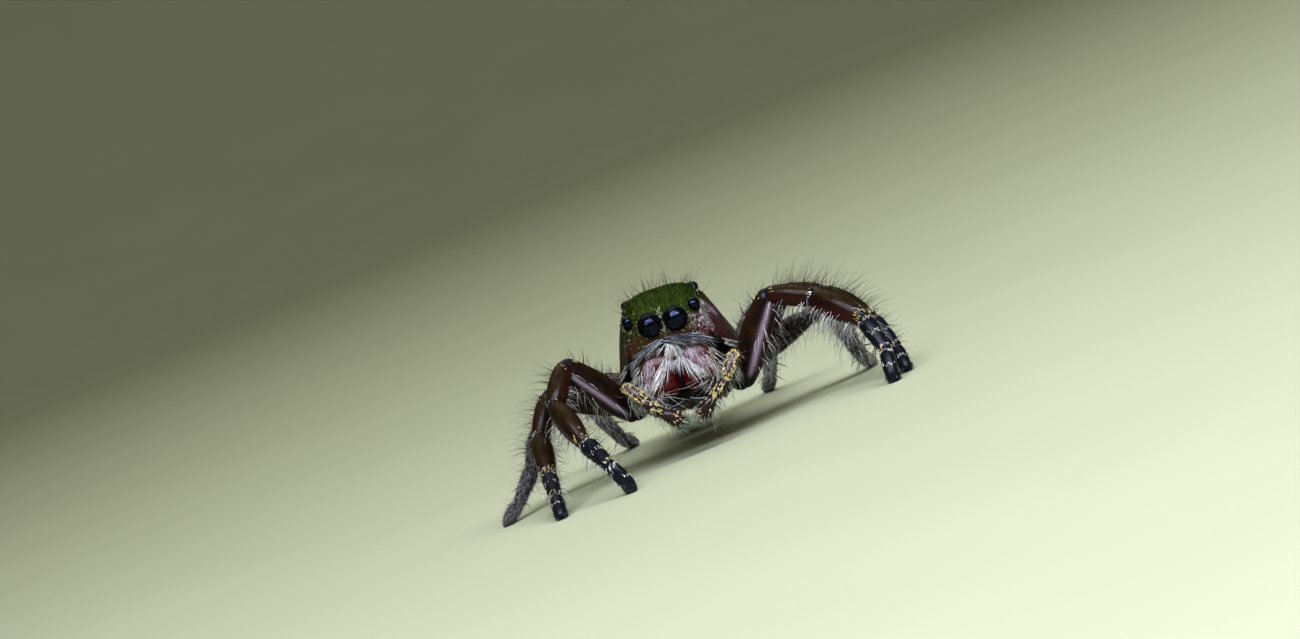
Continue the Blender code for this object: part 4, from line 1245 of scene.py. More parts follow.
@dataclass
class Jaws(SubAssembly):
    """The two stout jaws with their white tufts, and the fangs folded in below.

    Fields: place and size of the left jaw in the body's frame, and its profile as (share of the
    way down, share of its thickness); top_slope, how steeply its top follows the shield.
    """

    half_spacing: float = 1.22
    top: tuple[float, float] = (-3.45, 0.80)
    tip: tuple[float, float] = (-3.50, -1.30)
    half_width: float = 1.12
    half_depth: float = 1.08
    taper_in: float = 0.22
    bulge: float = 0.18
    top_slope: float = 0.5
    tuck: float = 0.24
    profile: Keys = (
        (-0.24, 0.80), (0.0, 0.90), (0.10, 0.97), (0.25, 1.0),
        (0.5, 0.985), (0.74, 0.89), (0.92, 0.70), (1.0, 0.46),
    )
    fang_radius: float = 0.27
    # where the painted highlight runs on each jaw, as x and z of its two ends
    bloom_lines: dict[Side, tuple[float, ...]] = field(
        default_factory=lambda: {Side.LEFT: (0.95, 1.05, 1.75, 0.05), Side.RIGHT: (1.55, 0.95, 1.75, -0.2)}
    )
    tufts: dict[Side, tuple[float, ...]] = field(
        default_factory=lambda: {Side.RIGHT: (0.02, 1.42, 1.84, -0.62), Side.LEFT: (0.14, 1.40, 1.36, -0.50)}
    )

    def jaw(self, side: Side) -> Shape:
        """Make one jaw.

        Args:
            side: Which one.

        Returns:
            Its skin in the body's frame, with its markings.
        """
        share = np.linspace(-self.tuck, 1, 72)
        size = curve(self.profile, share)
        level = 1 - np.clip(share * 2.2, 0, 1)
        x = side.value * (self.half_spacing - self.taper_in * np.maximum(share, 0) ** 2)
        bulge = self.bulge * np.sin(math.pi * np.clip(share, 0, 1))
        y = self.top[0] + (self.tip[0] - self.top[0]) * share - bulge
        z = self.top[1] + (self.tip[1] - self.top[1]) * share
        flat, one = np.zeros_like(share), np.ones_like(share)
        back = unit(np.stack([flat, one, -self.top_slope * level], axis=1))
        half = np.stack([self.half_width * size, self.half_depth * size], axis=1)
        angles = turn_about(72)
        rows = oval(np.stack([x, y, z], axis=1), LEFTWARDS, back, half, angles, 2.4)
        ripple = 0.012 * np.sin(share * 34 + 2.0 * np.sin(angles[:, None])).T
        swell = (rows - rows.mean(1, keepdims=True)) * ripple[..., None]
        rows = rows + swell * ease(0.0, 0.3, share)[:, None, None]
        outward = np.cos(angles) * side.value
        front = -np.sin(angles)
        share = share[:, None]
        red = ease(0.25, 0.8, share + 0.25 * -outward) * ease(0.55, -0.4, outward)
        # pale: the upper front is painted lighter, a painted highlight where the light falls
        pale = ease(0.1, 0.8, front) * ease(0.85, 0.15, share) * ease(-0.6, 0.5, outward)
        dark = np.maximum(0.9 * ease(-0.1, -0.6, front), 0.85 * ease(0.90, 1.0, share))
        down = (0, -0.1, -1.0)
        # painted highlight: a pale violet sheen along a line on each jaw, stronger on the lit left jaw
        x0, z0, x1, z1 = self.bloom_lines[side]
        flat = (rows * (side.value, 1, 1))[..., [0, 2]]
        from_line, _share = near_line(flat.reshape(-1, 2), (x0, z0), (x1, z1))
        width, strength = (0.30, 0.50) if side is Side.LEFT else (0.18, 0.25)
        bloom = strength * bell(from_line.reshape(flat.shape[:2]), 0, width) * ease(0.2, 0.6, front)
        return skin(rows, top=pale, mark=red, bloom=bloom, dark=dark, front=front, way=down)

    def fang(self, side: Side) -> Shape:
        """Make one fang, curved in below the jaw, with its stout base.

        Args:
            side: Which one.

        Returns:
            Its skin in the body's frame.
        """
        share = np.linspace(0, 1, 26)
        angle = np.radians(-6 + 88 * share)
        x = side.value * (1.20 - 1.04 * np.sin(angle))
        z = self.tip[1] - 0.36 - 0.36 * np.cos(angle) + 0.10 * share
        path = np.stack([x, np.full_like(x, self.tip[0] - 0.10), z], axis=1)
        _along, sides, ups = swept(path, BACKWARDS)
        size = self.fang_radius * curve(((0, 1.0), (0.2, 0.92), (0.6, 0.55), (0.9, 0.2), (1, 0.06)), share)
        return skin(oval(path, sides, ups, size[:, None], turn_about(20)))

    def hair(self, shape: Shape, side: Side) -> Iterator[Shape]:
        """White tufts that part from the middle, long hairs at the outer edge and across the bottom.

        Args:
            shape: The jaw's skin.
            side: Which jaw it is.

        Returns:
            The hair, in shapes.
        """
        points = shape.points * (side.value, 1, 1)
        front = ease(0.1, 0.5, shape.values["front"])
        x0, z0, x1, z1 = self.tufts[side]
        apart, share = near_line(points[:, [0, 2]], (x0, z0), (x1, z1))
        width = 0.12 + 0.05 * np.clip(share, 0, 1)
        line = bell(apart, 0, width) * ease(0.85, 0.35, share) * front
        way = (side.value * (x1 - x0), -0.22, z1 - z0)
        tints = (WHITE, WHITE, SILVER, (0.16, 0.08, 0.09))
        tuft = Hair((0.7, 1.4), 0.034, tints, 0.28, 0.88, 0.10, 0.05, steps=5)
        yield self.sow(tuft, shape, 76, line, way)
        strand = replace(tuft, length=(1.0, 1.6), width=0.052, tints=(WHITE,))
        yield self.sow(strand, shape, 34, line, way)
        # fine pale violet hairs laid where the painted highlight is: a painted sheen in the coat
        tints = ((0.40, 0.31, 0.36), (0.72, 0.64, 0.70), (0.20, 0.08, 0.09))
        sheen_hair = Hair((0.30, 0.70), 0.020, tints, 0.12, 0.96, 0.06)
        down = (side.value * 0.10, -0.1, -1.0)
        yield self.sow(sheen_hair, shape, 260, shape.values["bloom"] * front, down)
        x, y, z = points.T
        loose = front * ease(0.7, 1.5, x) * ease(1.3, 0.8, z)
        thin = Hair((0.5, 1.2), 0.030, (WHITE, CREAM, SILVER), 0.3, 0.85, 0.14, 0.1, steps=4)
        number = 30 if side is Side.LEFT else 50
        yield self.sow(thin, shape, number, loose, (side.value * 0.25, -0.1, -1))
        edge = ease(1.75, 2.15, x) * ease(-4.9, -4.2, y) * ease(-3.2, -3.9, y)
        long = Hair((0.8, 1.4), 0.042, (WHITE, CREAM), 0.5, 0.8, 0.12, 0.2, steps=5)
        yield self.sow(long, shape, 34, edge, (-side.value * 0.1, -0.35, -1))
        low = front * bell(z, -0.75, 0.25) * ease(0.7, 1.3, x)
        cross = Hair((1.2, 1.9), 0.032, (WHITE, WHITE, SILVER), 0.5, 0.9, 0.16, 0.16, steps=6)
        yield self.sow(cross, shape, 16, low, (-side.value * 1.0, -0.3, 0.40))
        fine = Hair((0.10, 0.20), 0.018, (BROWN, (0.10, 0.03, 0.03), BLACK), 0.25, 0.9, 0.15)
        yield self.sow(fine, shape, 160, front + 0.3)

    def make(self) -> None:
        """Build and dress both jaws."""
        coat = []
        for side in Side:
            shape = self.jaw(side)
            word = side.word
            fang = self.fang(side).carried(BODY)
            make_piece(f"jaw_shell_{word}", shape.carried(BODY), self.finishes.jaw, [f"jaw_{word}"])
            make_piece(f"fang_horn_{word}", fang, self.finishes.horn, [f"fang_{word}"])
            coat += self.hair(shape, side)
        make_piece("coat_jaws", Shape.joined(coat).carried(BODY), self.finishes.hair, coat=True)


@dataclass
class Palps(SubAssembly):
    """The two feelers beside the jaws, with gold scales on their upper side and pale hair below.

    Fields: the left one's path as (step, x, y, z, half thickness) in the body's frame; how far
    inwards and up the right one is held at each step; the steps between which the patella, tibia
    and tarsus lie.
    """

    path: Keys = (
        (0, 1.95, -2.75, -2.25, 0.27), (1, 2.40, -3.05, -1.65, 0.38), (2, 2.95, -3.42, -0.90, 0.40),
        (3, 3.40, -3.85, -0.10, 0.34), (4, 3.50, -4.25, 0.22, 0.31), (5, 3.22, -4.68, -0.02, 0.36),
        (6, 2.86, -4.95, -0.55, 0.39), (7, 2.56, -5.05, -0.98, 0.31), (8, 2.08, -5.14, -1.34, 0.35),
        (9, 1.52, -5.14, -1.78, 0.29), (10, 1.18, -5.12, -2.07, 0.40), (11, 0.80, -5.06, -2.42, 0.46),
        (12, 0.48, -5.00, -2.72, 0.38), (13, 0.32, -4.96, -2.88, 0.14),
    )
    right_shift: Keys = (
        (1, 0.00, 0.00), (2, 0.12, -0.05), (3, 0.22, -0.10), (4, 0.28, -0.18), (5, 0.32, -0.10),
        (6, 0.34, 0.03), (7, 0.31, 0.12), (8, 0.14, 0.08), (9, 0.02, 0.00), (10, 0.00, 0.00),
    )
    elbow: float = 4.0
    patella: tuple[float, float] = (4.15, 6.95)
    tibia: tuple[float, float] = (7.15, 8.9)
    tarsus: tuple[float, float] = (9.2, 12.4)

    def shape(self, side: Side) -> Shape:
        """Make one feeler.

        Args:
            side: Which one.

        Returns:
            Its skin in the body's frame, with its markings.
        """
        step = np.linspace(0, self.path[-1][0], 150)
        table = curve(self.path, step)
        if side is Side.RIGHT:
            inwards, up = curve(self.right_shift, step).T
            table = table + np.stack([-inwards, 0 * up, up, 0 * up], axis=1)
        table = table * (side.value, 1, 1, 1)
        path, half = table[:, :3], table[:, 3:]
        joints = np.array((self.elbow, 7.0, 9.05))
        notch = bell(step[:, None], joints, 0.13).max(1)
        half = half * (1 - 0.12 * notch[:, None])
        along, sides, ups = swept(path, np.array((side.value, 0.6, 0.0)))
        rows = oval(path, sides, ups, half, turn_about(36))
        radial = unit(rows - path[:, None])
        front = radial @ unit(np.array((0.15 * side.value, -0.75, 0.65)))
        # painted highlight: a pale patch on the patella's front, mixed in as mark
        highlight_panel = ease(0.84, 0.95, front) * ease(4.5, 4.8, step)[:, None] * ease(6.6, 6.3, step)[:, None]
        dark = 0.9 * notch[:, None] + 0.35 * ease(9.0, 9.6, step)[:, None]
        # top: the side that faces forward and up, towards the light, is painted lighter
        top, dark = ease(0.2, 0.9, front), np.clip(dark, 0, 1)
        step, way = step[:, None], along[:, None]
        return skin(rows, top=top, mark=0.28 * highlight_panel, dark=dark, front=front, step=step, way=way)

    def gold(self, shape: Shape) -> Iterator[Shape]:
        """Gold scales: an outline round the patella, blotches on the tibia and dots on the tarsus.

        Args:
            shape: The feeler's skin.

        Returns:
            The scales, in shapes.
        """
        step, front = shape.values["step"], shape.values["front"]
        start, end = self.patella
        inside = ease(start - 0.15, start + 0.05, step) * ease(end + 0.1, end - 0.1, step)
        outline = bell(front, 0.60, 0.22) + ease(0.3, 0.6, front) * (
            bell(step - start, 0.15, 0.22) + bell(step - end, -0.15, 0.18)
        )
        tints = (GOLD, (0.95, 0.82, 0.42), (0.95, 0.90, 0.70))
        kind = Hair((0.09, 0.17), 0.048, tints, 0.18, 0.9, 0.3, thick=0.4, slip=Slip.SCALE)
        gaps = 0.5 + 0.5 * np.sin(step * 9 + 5 * np.sin(front * 5 + step * 4))
        yield self.sow(kind, shape, 330, inside * outline * gaps**3)
        for (low, high), count, size, each in ((self.tibia, 12, 0.08, 9), (self.tarsus, 14, 0.03, 3)):
            place = ease(low, low + 0.1, step) * ease(high, high - 0.1, step) * ease(0.0, 0.5, front)
            for centre in scatter(shape, count, place, self.rng).point:
                spot = bell(np.linalg.norm(shape.points - centre, axis=1), 0, size)
                yield self.sow(kind, shape, each, spot)

    def hair(self, shape: Shape, side: Side) -> Iterator[Shape]:
        """Long pale hairs below, a fine fringe at the tip and short dark hairs all over.

        Args:
            shape: The feeler's skin.
            side: Which feeler it is.

        Returns:
            The hair, in shapes.
        """
        step, front = shape.values["step"], shape.values["front"]
        below = ease(0.1, -0.6, front) * ease(4.5, 6.0, step) * ease(11.2, 9.8, step)
        tints = (WHITE, (0.50, 0.54, 0.44), (0.26, 0.30, 0.20))
        long = Hair((0.7, 1.5), 0.036, tints, 0.6, 0.8, 0.14, 0.3, steps=5)
        yield self.sow(long, shape, 120, below, (side.value * 0.35, 0.1, -1))
        fan = ease(10.8, 12.3, step) + 0.8 * ease(9.6, 11.0, step) * ease(0.3, -0.5, front)
        tints = ((0.24, 0.30, 0.22), (0.12, 0.16, 0.11), (0.45, 0.50, 0.42))
        tip = Hair((0.30, 0.70), 0.022, tints, 0.45, 0.8, 0.2, 0.15, steps=4)
        yield self.sow(tip, shape, 520, fan)
        dark = Hair((0.14, 0.34), 0.022, (BLACK, BROWN, (0.07, 0.05, 0.04)), 0.4, 0.85, 0.15)
        yield self.sow(dark, shape, 520, 0.3 + ease(0.2, 2.0, step))
        stand = Hair((0.4, 0.8), 0.022, (WHITE, CREAM, BROWN), 0.75, 0.6, 0.2, steps=4)
        yield self.sow(stand, shape, 60, ease(1.0, 4.0, step) * ease(-0.6, 0.4, front))

    def make(self) -> None:
        """Build and dress both feelers."""
        coat, scales = [], []
        for side in Side:
            shape = self.shape(side)
            nodes = [f"palp_{side.word}_{part}" for part in ("upper", "lower")]
            make_piece(f"palp_shell_{side.word}", shape.carried(BODY), self.finishes.palp, nodes)
            coat += self.hair(shape, side)
            scales += self.gold(shape)
        make_piece("coat_palps", Shape.joined(coat).carried(BODY), self.finishes.hair, coat=True)
        make_piece("scales_palps", Shape.joined(scales).carried(BODY), self.finishes.scale, coat=True)


# Legs


class Part(IntEnum):
    """The segments of a leg, from the body out."""

    HIP = 0
    FEMUR = 1
    PATELLA = 2
    TIBIA = 3
    METATARSUS = 4
    TARSUS = 5


@dataclass(frozen=True)
class Stretch:
    """The form and the coat of one segment.

    Fields: its half height and half width on the first leg; how far its middle bows up; how red
    it is below; how many dark hairs stand on it, and their length; the same for the pale hairs
    below it; how many short hairs lie on it; its profile as (share of length, share of thickness).
    """

    half: tuple[float, float]
    bow: float
    red: float
    dark: tuple[int, tuple[float, float]]
    pale: tuple[int, tuple[float, float]]
    short: int
    profile: Keys


STRETCHES = {
    Part.HIP: Stretch(
        (0.58, 0.52), 0.0, 0.0, (0, (0.3, 0.5)), (14, (0.25, 0.45)), 40,
        ((0, 0.86), (0.18, 1.0), (0.5, 1.04), (0.68, 0.84), (0.84, 0.92), (1, 0.84)),
    ),
    Part.FEMUR: Stretch(
        (0.90, 0.66), 0.10, 0.0, (62, (0.6, 1.3)), (44, (0.8, 1.45)), 70,
        ((0, 0.60), (0.08, 0.72), (0.24, 0.95), (0.45, 1.02), (0.66, 0.99), (0.86, 0.86), (1, 0.72)),
    ),
    Part.PATELLA: Stretch(
        (0.62, 0.58), 0.05, 0.4, (60, (0.9, 2.1)), (44, (0.9, 1.6)), 50,
        ((0, 0.86), (0.12, 0.92), (0.36, 1.02), (0.6, 1.04), (0.84, 0.98), (1, 0.84)),
    ),
    Part.TIBIA: Stretch(
        (0.76, 0.64), 0.04, 0.7, (92, (0.9, 2.1)), (90, (0.9, 2.0)), 70,
        ((0, 0.72), (0.08, 0.82), (0.22, 0.96), (0.4, 1.03), (0.62, 0.98), (0.86, 0.78), (1, 0.66)),
    ),
    Part.METATARSUS: Stretch(
        (0.52, 0.50), 0.03, 0.0, (60, (0.7, 1.5)), (40, (0.5, 1.0)), 110,
        ((0, 0.92), (0.10, 1.02), (0.28, 1.04), (0.5, 0.97), (0.82, 0.84), (1, 0.78)),
    ),
    Part.TARSUS: Stretch(
        (0.43, 0.42), 0.03, 0.0, (20, (0.3, 0.7)), (24, (0.2, 0.4)), 140,
        ((0, 0.78), (0.12, 0.92), (0.42, 1.03), (0.78, 1.0), (1, 0.86)),
    ),
}

# lengths of femur, patella, tibia, metatarsus and tarsus, and how stout the leg is
LEG_SIZES = {
    1: (5.4, 2.8, 3.6, 2.5, 1.8, 1.00),
    2: (5.0, 2.6, 3.4, 2.4, 1.7, 0.92),
    3: (4.3, 1.9, 2.6, 2.4, 1.5, 0.82),
    4: (4.9, 2.2, 3.5, 3.4, 1.6, 0.84),
}
# where the left hips start and end, in the body's frame
HIPS = {
    1: ((1.45, -1.70, -1.00), (3.35, -2.35, -2.00)),
    2: ((1.62, -0.48, -1.00), (3.55, -0.72, -1.75)),
    3: ((1.62, 0.88, -1.00), (3.55, 1.10, -1.75)),
    4: ((1.40, 2.22, -1.00), (3.05, 3.05, -1.70)),
}
# heading and rise of femur, patella, tibia and metatarsus, and heading of the tarsus, in degrees
LEG_POSES = {
    (1, Side.LEFT): ((12, 52), (21, -22), (38, -36), (68, -53), 99),
    (1, Side.RIGHT): ((42, 52), (58, -38), (114, -42), (121, -38), 172),
    (2, Side.LEFT): ((5, 45), (14, -20), (30, -44), (58, -54), 84),
    (2, Side.RIGHT): ((17, 28), (56, -45), (88, -38), (95, -25), 92),
    (3, Side.LEFT): ((0, 17), (-30, 2), (-56, -78), (-84, -34), -81),
    (3, Side.RIGHT): ((4, 22), (-14, -35), (17, -54), (46, -37), 48),
    (4, Side.LEFT): ((-71, 22), (-81, -1), (-108, -50), (-105, -32), -110),
    (4, Side.RIGHT): ((-50, 12), (-64, 4), (-92, -40), (-104, -42), -104),
}
# the way in which the light glances off a front femur, where a pale violet highlight is painted along it, and
# how wide that painted streak is
PAINTED_STREAKS = {Side.LEFT: ((0.25, -0.91, -0.34), 0.022), Side.RIGHT: ((0.02, -0.89, -0.46), 0.012)}


@dataclass
class Leg(SubAssembly):
    """One leg: six segments that nest in each other, with their hair, spines and claws.

    Fields: its pair, counted from the front, and its side; height of the last joint's middle over
    the floor; points round a ring and rings of a segment; how thick it is beside the solid.
    """

    number: int
    side: Side
    foot_z: float = 0.24
    sides: int = 40
    rings: int = 46
    slim: float = 0.99
    points: list[Array] = field(init=False)
    sidewise: list[Array] = field(init=False)

    def __post_init__(self) -> None:
        """Work out where the joints are, in the spider's frame."""
        sign = self.side.value
        size, pose = LEG_SIZES[self.number], LEG_POSES[self.number, self.side]
        start, end = (np.array(BODY @ Vector((sign * x, y, z))) for x, y, z in HIPS[self.number])
        run = end - start
        self.points = [start, end]
        self.sidewise = [self.across(math.degrees(math.atan2(-run[1], sign * run[0])))]
        for length, (heading, rise) in zip(size, pose[:4]):
            self.points.append(self.points[-1] + self.way(heading, rise) * length)
            self.sidewise.append(self.across(heading))
        drop = math.degrees(math.asin((self.points[-1][2] - self.foot_z) / size[4]))
        self.points.append(self.points[-1] + self.way(pose[4], -drop) * size[4])
        self.sidewise.append(self.across(pose[4]))

    def way(self, heading: float, rise: float) -> Array:
        """Unit vector for a heading forward of straight out, and a rise, in degrees."""
        h, r = math.radians(heading), math.radians(rise)
        return np.array(
            (self.side.value * math.cos(h) * math.cos(r), -math.sin(h) * math.cos(r), math.sin(r))
        )

    def across(self, heading: float) -> Array:
        """Level unit vector square to a heading."""
        h = math.radians(heading)
        return np.array((math.sin(h), self.side.value * math.cos(h), 0.0))

    @property
    def name(self) -> str:
        """The leg as the CAD nodes spell it."""
        return f"leg_{self.number}_{self.side.word}"

    @property
    def rear(self) -> bool:
        """Whether it belongs to the two rear pairs."""
        return self.number > 2

    def segment(self, part: Part) -> Shape:
        """Make one segment, a closed skin whose rounded ends reach into its neighbours.

        Args:
            part: Which segment.

        Returns:
            Its skin in the spider's frame, with its markings.
        """
        kind = STRETCHES[part]
        start, end = self.points[part : part + 2]
        along = unit(end - start)
        side = unit(self.sidewise[part] - along * (self.sidewise[part] @ along))
        up = np.cross(side, along)
        if up[2] < 0:
            side, up = -side, -up
        stout = LEG_SIZES[self.number][5] * self.slim
        half_up, half_side = (half * stout for half in kind.half)
        length = np.linalg.norm(end - start)
        before, after = 0.55 * half_up * kind.profile[0][1], 0.55 * half_up * kind.profile[-1][1]
        if part is Part.TARSUS:
            after = half_up * 0.75
        even = np.linspace(0, 1, self.rings)
        even = 0.45 * even + 0.55 * (0.5 - 0.5 * np.cos(math.pi * even))
        place = -before * 0.995 + (length + (before + after)) * even * 0.998
        share = place / length
        size = curve(kind.profile, share)
        size = size * dome((place + before) / (1.6 * before))
        size = size * dome((length + after - place) / (1.6 * after))
        lift = kind.bow * np.sin(math.pi * np.clip(share, 0, 1))
        centre = start + along * place[:, None] + up * lift[:, None]
        angles = turn_about(self.sides)
        rows = oval(centre, side, up, np.outer(size, (half_side, half_up)), angles, 2.15)
        high = np.sin(angles)
        from_joint = np.minimum(np.maximum(place, 0), np.maximum(length - place, 0))[:, None]
        share = np.clip(share, 0, 1)[:, None]
        joint = 0.85 * ease(0.16, 0.04, from_joint)
        black = 0.0
        if part is Part.TIBIA:
            black = 0.75 * ease(0.84, 1.0, share)
        elif part > Part.TIBIA:
            black = 0.5 if self.rear else 0.86
        red = kind.red * ease(0.55, -0.3, high) * (not self.rear)
        # painted highlight: a pale violet streak along each front femur, where the light glances
        glance, spread = PAINTED_STREAKS[self.side]
        radial = unit(rows - centre[:, None])
        bloom = 0.6 * np.exp((radial @ unit(np.array(glance)) - 1) / spread)
        bloom = bloom * ease(0.06, 0.16, share) * ease(0.98, 0.90, share)
        bloom = bloom * (part is Part.FEMUR and self.number == 1)
        # top: the upper side is painted lighter for the light that falls on it
        top = ease(0.15, 0.95, high) * (part <= Part.TIBIA)
        red = red * ease(0.0, 0.2, share) * ease(1.0, 0.8, share)
        dark = np.maximum(joint, black)
        return skin(rows, top=top, mark=red, bloom=bloom, dark=dark, high=high, share=share, way=along)

    def dark_hair(self, shape: Shape, part: Part) -> Iterator[Shape]:
        """Thin hairs that stand up on top, and short ones that lie along the segment.

        Args:
            shape: The segment's skin.
            part: Which segment it is.

        Returns:
            The hair, in shapes.
        """
        high, share = shape.values["high"], shape.values["share"]
        middle = ease(0.0, 0.06, share) * ease(1.0, 0.95, share)
        count, length = STRETCHES[part].dark
        tints = (BLACK, (0.03, 0.024, 0.02), (0.05, 0.04, 0.03))
        if self.rear:
            tints = ((0.05, 0.045, 0.04), GREY, (0.14, 0.12, 0.11))
            count = count // 2
        stand = Hair(length, 0.017, tints, 0.88, 0.42, 0.15, steps=5)
        if count:
            yield self.sow(stand, shape, count, middle * ease(-0.1, 0.8, high))
            mid = replace(stand, length=(0.35, 0.7), erect=0.7, lie=0.6, steps=4, width=0.018)
            yield self.sow(mid, shape, count * 2 // 3, middle * ease(-0.3, 0.6, high))
        short = Hair((0.12, 0.28), 0.020, (*tints, BROWN), 0.2, 0.92, 0.12)
        yield self.sow(short, shape, STRETCHES[part].short, 0.3 + middle)

    def pale_hair(self, shape: Shape, part: Part) -> Iterator[Shape]:
        """Curved pale hair below, leaning towards the body, and grey hair all over a rear leg.

        Args:
            shape: The segment's skin.
            part: Which segment it is.

        Returns:
            The hair, in shapes.
        """
        high, share = shape.values["high"], shape.values["share"]
        way = shape.values["way"][0]
        if part <= Part.TIBIA:
            way = -way * 0.65 + np.array((0, 0, -0.95))
        below = ease(0.15, -0.6, high) * ease(0.02, 0.12, share) * ease(1.0, 0.92, share)
        tints = (WHITE, WHITE, WHITE, SILVER, (0.20, 0.20, 0.19))
        count, length = STRETCHES[part].pale
        kind = Hair(length, 0.028, tints, 0.70, 0.72, 0.15, 0.30, steps=6)
        yield self.sow(kind, shape, count, below, way)
        if self.rear and part is not Part.HIP:
            tints = (GREY, SILVER, (0.17, 0.15, 0.14), (0.50, 0.46, 0.43))
            grey = Hair((0.18, 0.40), 0.024, tints, 0.34, 0.88, 0.12)
            yield self.sow(grey, shape, 900, 0.4 + ease(0.0, 0.1, share))

    def foot_brush(self, shape: Shape) -> list[Shape]:
        """The dense dark brush round the end of the tarsus.

        Args:
            shape: The tarsus's skin.

        Returns:
            The hair, in shapes.
        """
        high, share = shape.values["high"], shape.values["share"]
        kind = Hair((0.16, 0.30), 0.022, (BLACK, (0.05, 0.05, 0.06), (0.14, 0.14, 0.15)), 0.55, 0.75, 0.2)
        return [self.sow(kind, shape, 420, ease(0.72, 0.98, share) * ease(0.75, -0.2, high))]

    def scale_spots(self, segments: dict[Part, Shape]) -> Iterator[Shape]:
        """Gold ticks at the knee, white and gold flecks at the shin's end and rings on the foot.

        Args:
            segments: The segments' skins.

        Returns:
            The scales, in shapes.
        """
        kind = Hair((0.10, 0.18), 0.05, (WHITE,), 0.2, 0.9, 0.2, thick=0.4, slip=Slip.SCALE)
        strong = 0.1 if self.rear else 1.0
        for part, at, width, low, tints, count in (
            (Part.FEMUR, 0.93, 0.03, 0.2, (GOLD, CREAM), 26),
            (Part.PATELLA, 0.10, 0.04, 0.2, (GOLD, CREAM), 18),
            (Part.PATELLA, 0.95, 0.03, 0.0, (WHITE, CREAM), 22),
            (Part.TIBIA, 0.90, 0.05, -0.2, (GOLD, GOLD, WHITE), 54),
            (Part.METATARSUS, 0.08, 0.05, -0.4, (WHITE, CREAM), 56),
            (Part.METATARSUS, 0.50, 0.05, 0.1, (WHITE, CREAM), 20),
            (Part.METATARSUS, 0.93, 0.04, -0.4, (WHITE, GOLD), 34),
            (Part.TARSUS, 0.06, 0.045, -1.2, (WHITE, WHITE, CREAM), 84),
            (Part.TARSUS, 0.55, 0.05, 0.3, (WHITE, CREAM), 16),
        ):
            shape = segments[part]
            high, share = shape.values["high"], shape.values["share"]
            patchy = 0.5 + 0.5 * np.sin(7.0 * high + 31.0 * share + 2.3 * part + 1.7 * self.number)
            row = bell(share, at, width) * ease(low, low + 0.4, high) * (0.04 + patchy**2)
            fleck = replace(kind, tints=tints)
            yield self.sow(fleck, shape, max(2, int(count * strong)), row)

    def spines(self, segments: dict[Part, Shape]) -> Iterator[Shape]:
        """Stout black spines at set places, and two claws at the tip of the foot.

        Args:
            segments: The segments' skins.

        Returns:
            The spines and claws, in shapes.
        """
        kind = Hair((0.75, 0.95), 0.085, (BLACK,), 0.72, 0.55, 0.05, sink=0.08, steps=5)
        femur = ((0.58, 0.92), (0.70, 0.97), (0.82, 0.90), (0.88, 0.98))
        places = [(Part.FEMUR, at, height) for at, height in femur]
        if self.rear:
            places += [(Part.TIBIA, at, height) for at in (0.3, 0.6, 0.85) for height in (-0.6, 0.3)]
            places += [(Part.METATARSUS, at, height) for at in (0.45, 0.92) for height in (-0.6, 0.2)]
        else:
            places += [(Part.TIBIA, at, -0.8) for at in (0.22, 0.45, 0.68)]
            places += [(Part.METATARSUS, at, -0.8) for at in (0.3, 0.75)]
        for part, at, height in places:
            shape = segments[part]
            high, share = shape.values["high"], shape.values["share"]
            spot = np.exp(-(((share - at) / 0.015) ** 2) - ((high - height) / 0.05) ** 2)
            yield self.sow(kind, shape, 2 if height < 0.5 else 1, spot)
        tip = segments[Part.TARSUS]
        high, share = tip.values["high"], tip.values["share"]
        claw = replace(kind, length=(0.26, 0.30), width=0.07, erect=0.35, lie=0.6, droop=0.9, sink=0.05)
        spot = ease(0.97, 1.0, share) * bell(high, 0.5, 0.2)
        yield self.sow(claw, tip, 2, spot)

    def make(self) -> list[Shape]:
        """Build and dress the leg.

        Returns:
            Its spines and claws, which all legs share one piece for.
        """
        segments = {part: self.segment(part) for part in Part}
        nodes = [f"{self.name}_{part}" for part in ("hip", "femur", "shin", "foot")]
        make_piece(f"{self.name}_shell", Shape.joined(segments.values()), self.finishes.leg, nodes)
        coat = self.foot_brush(segments[Part.TARSUS])
        for part, shape in segments.items():
            coat += self.dark_hair(shape, part)
            coat += self.pale_hair(shape, part)
        make_piece(f"coat_{self.name}", Shape.joined(coat), self.finishes.hair, coat=True)
        scales = Shape.joined(self.scale_spots(segments))
        make_piece(f"scales_{self.name}", scales, self.finishes.scale, coat=True)
        return list(self.spines(segments))


# Abdomen and underside


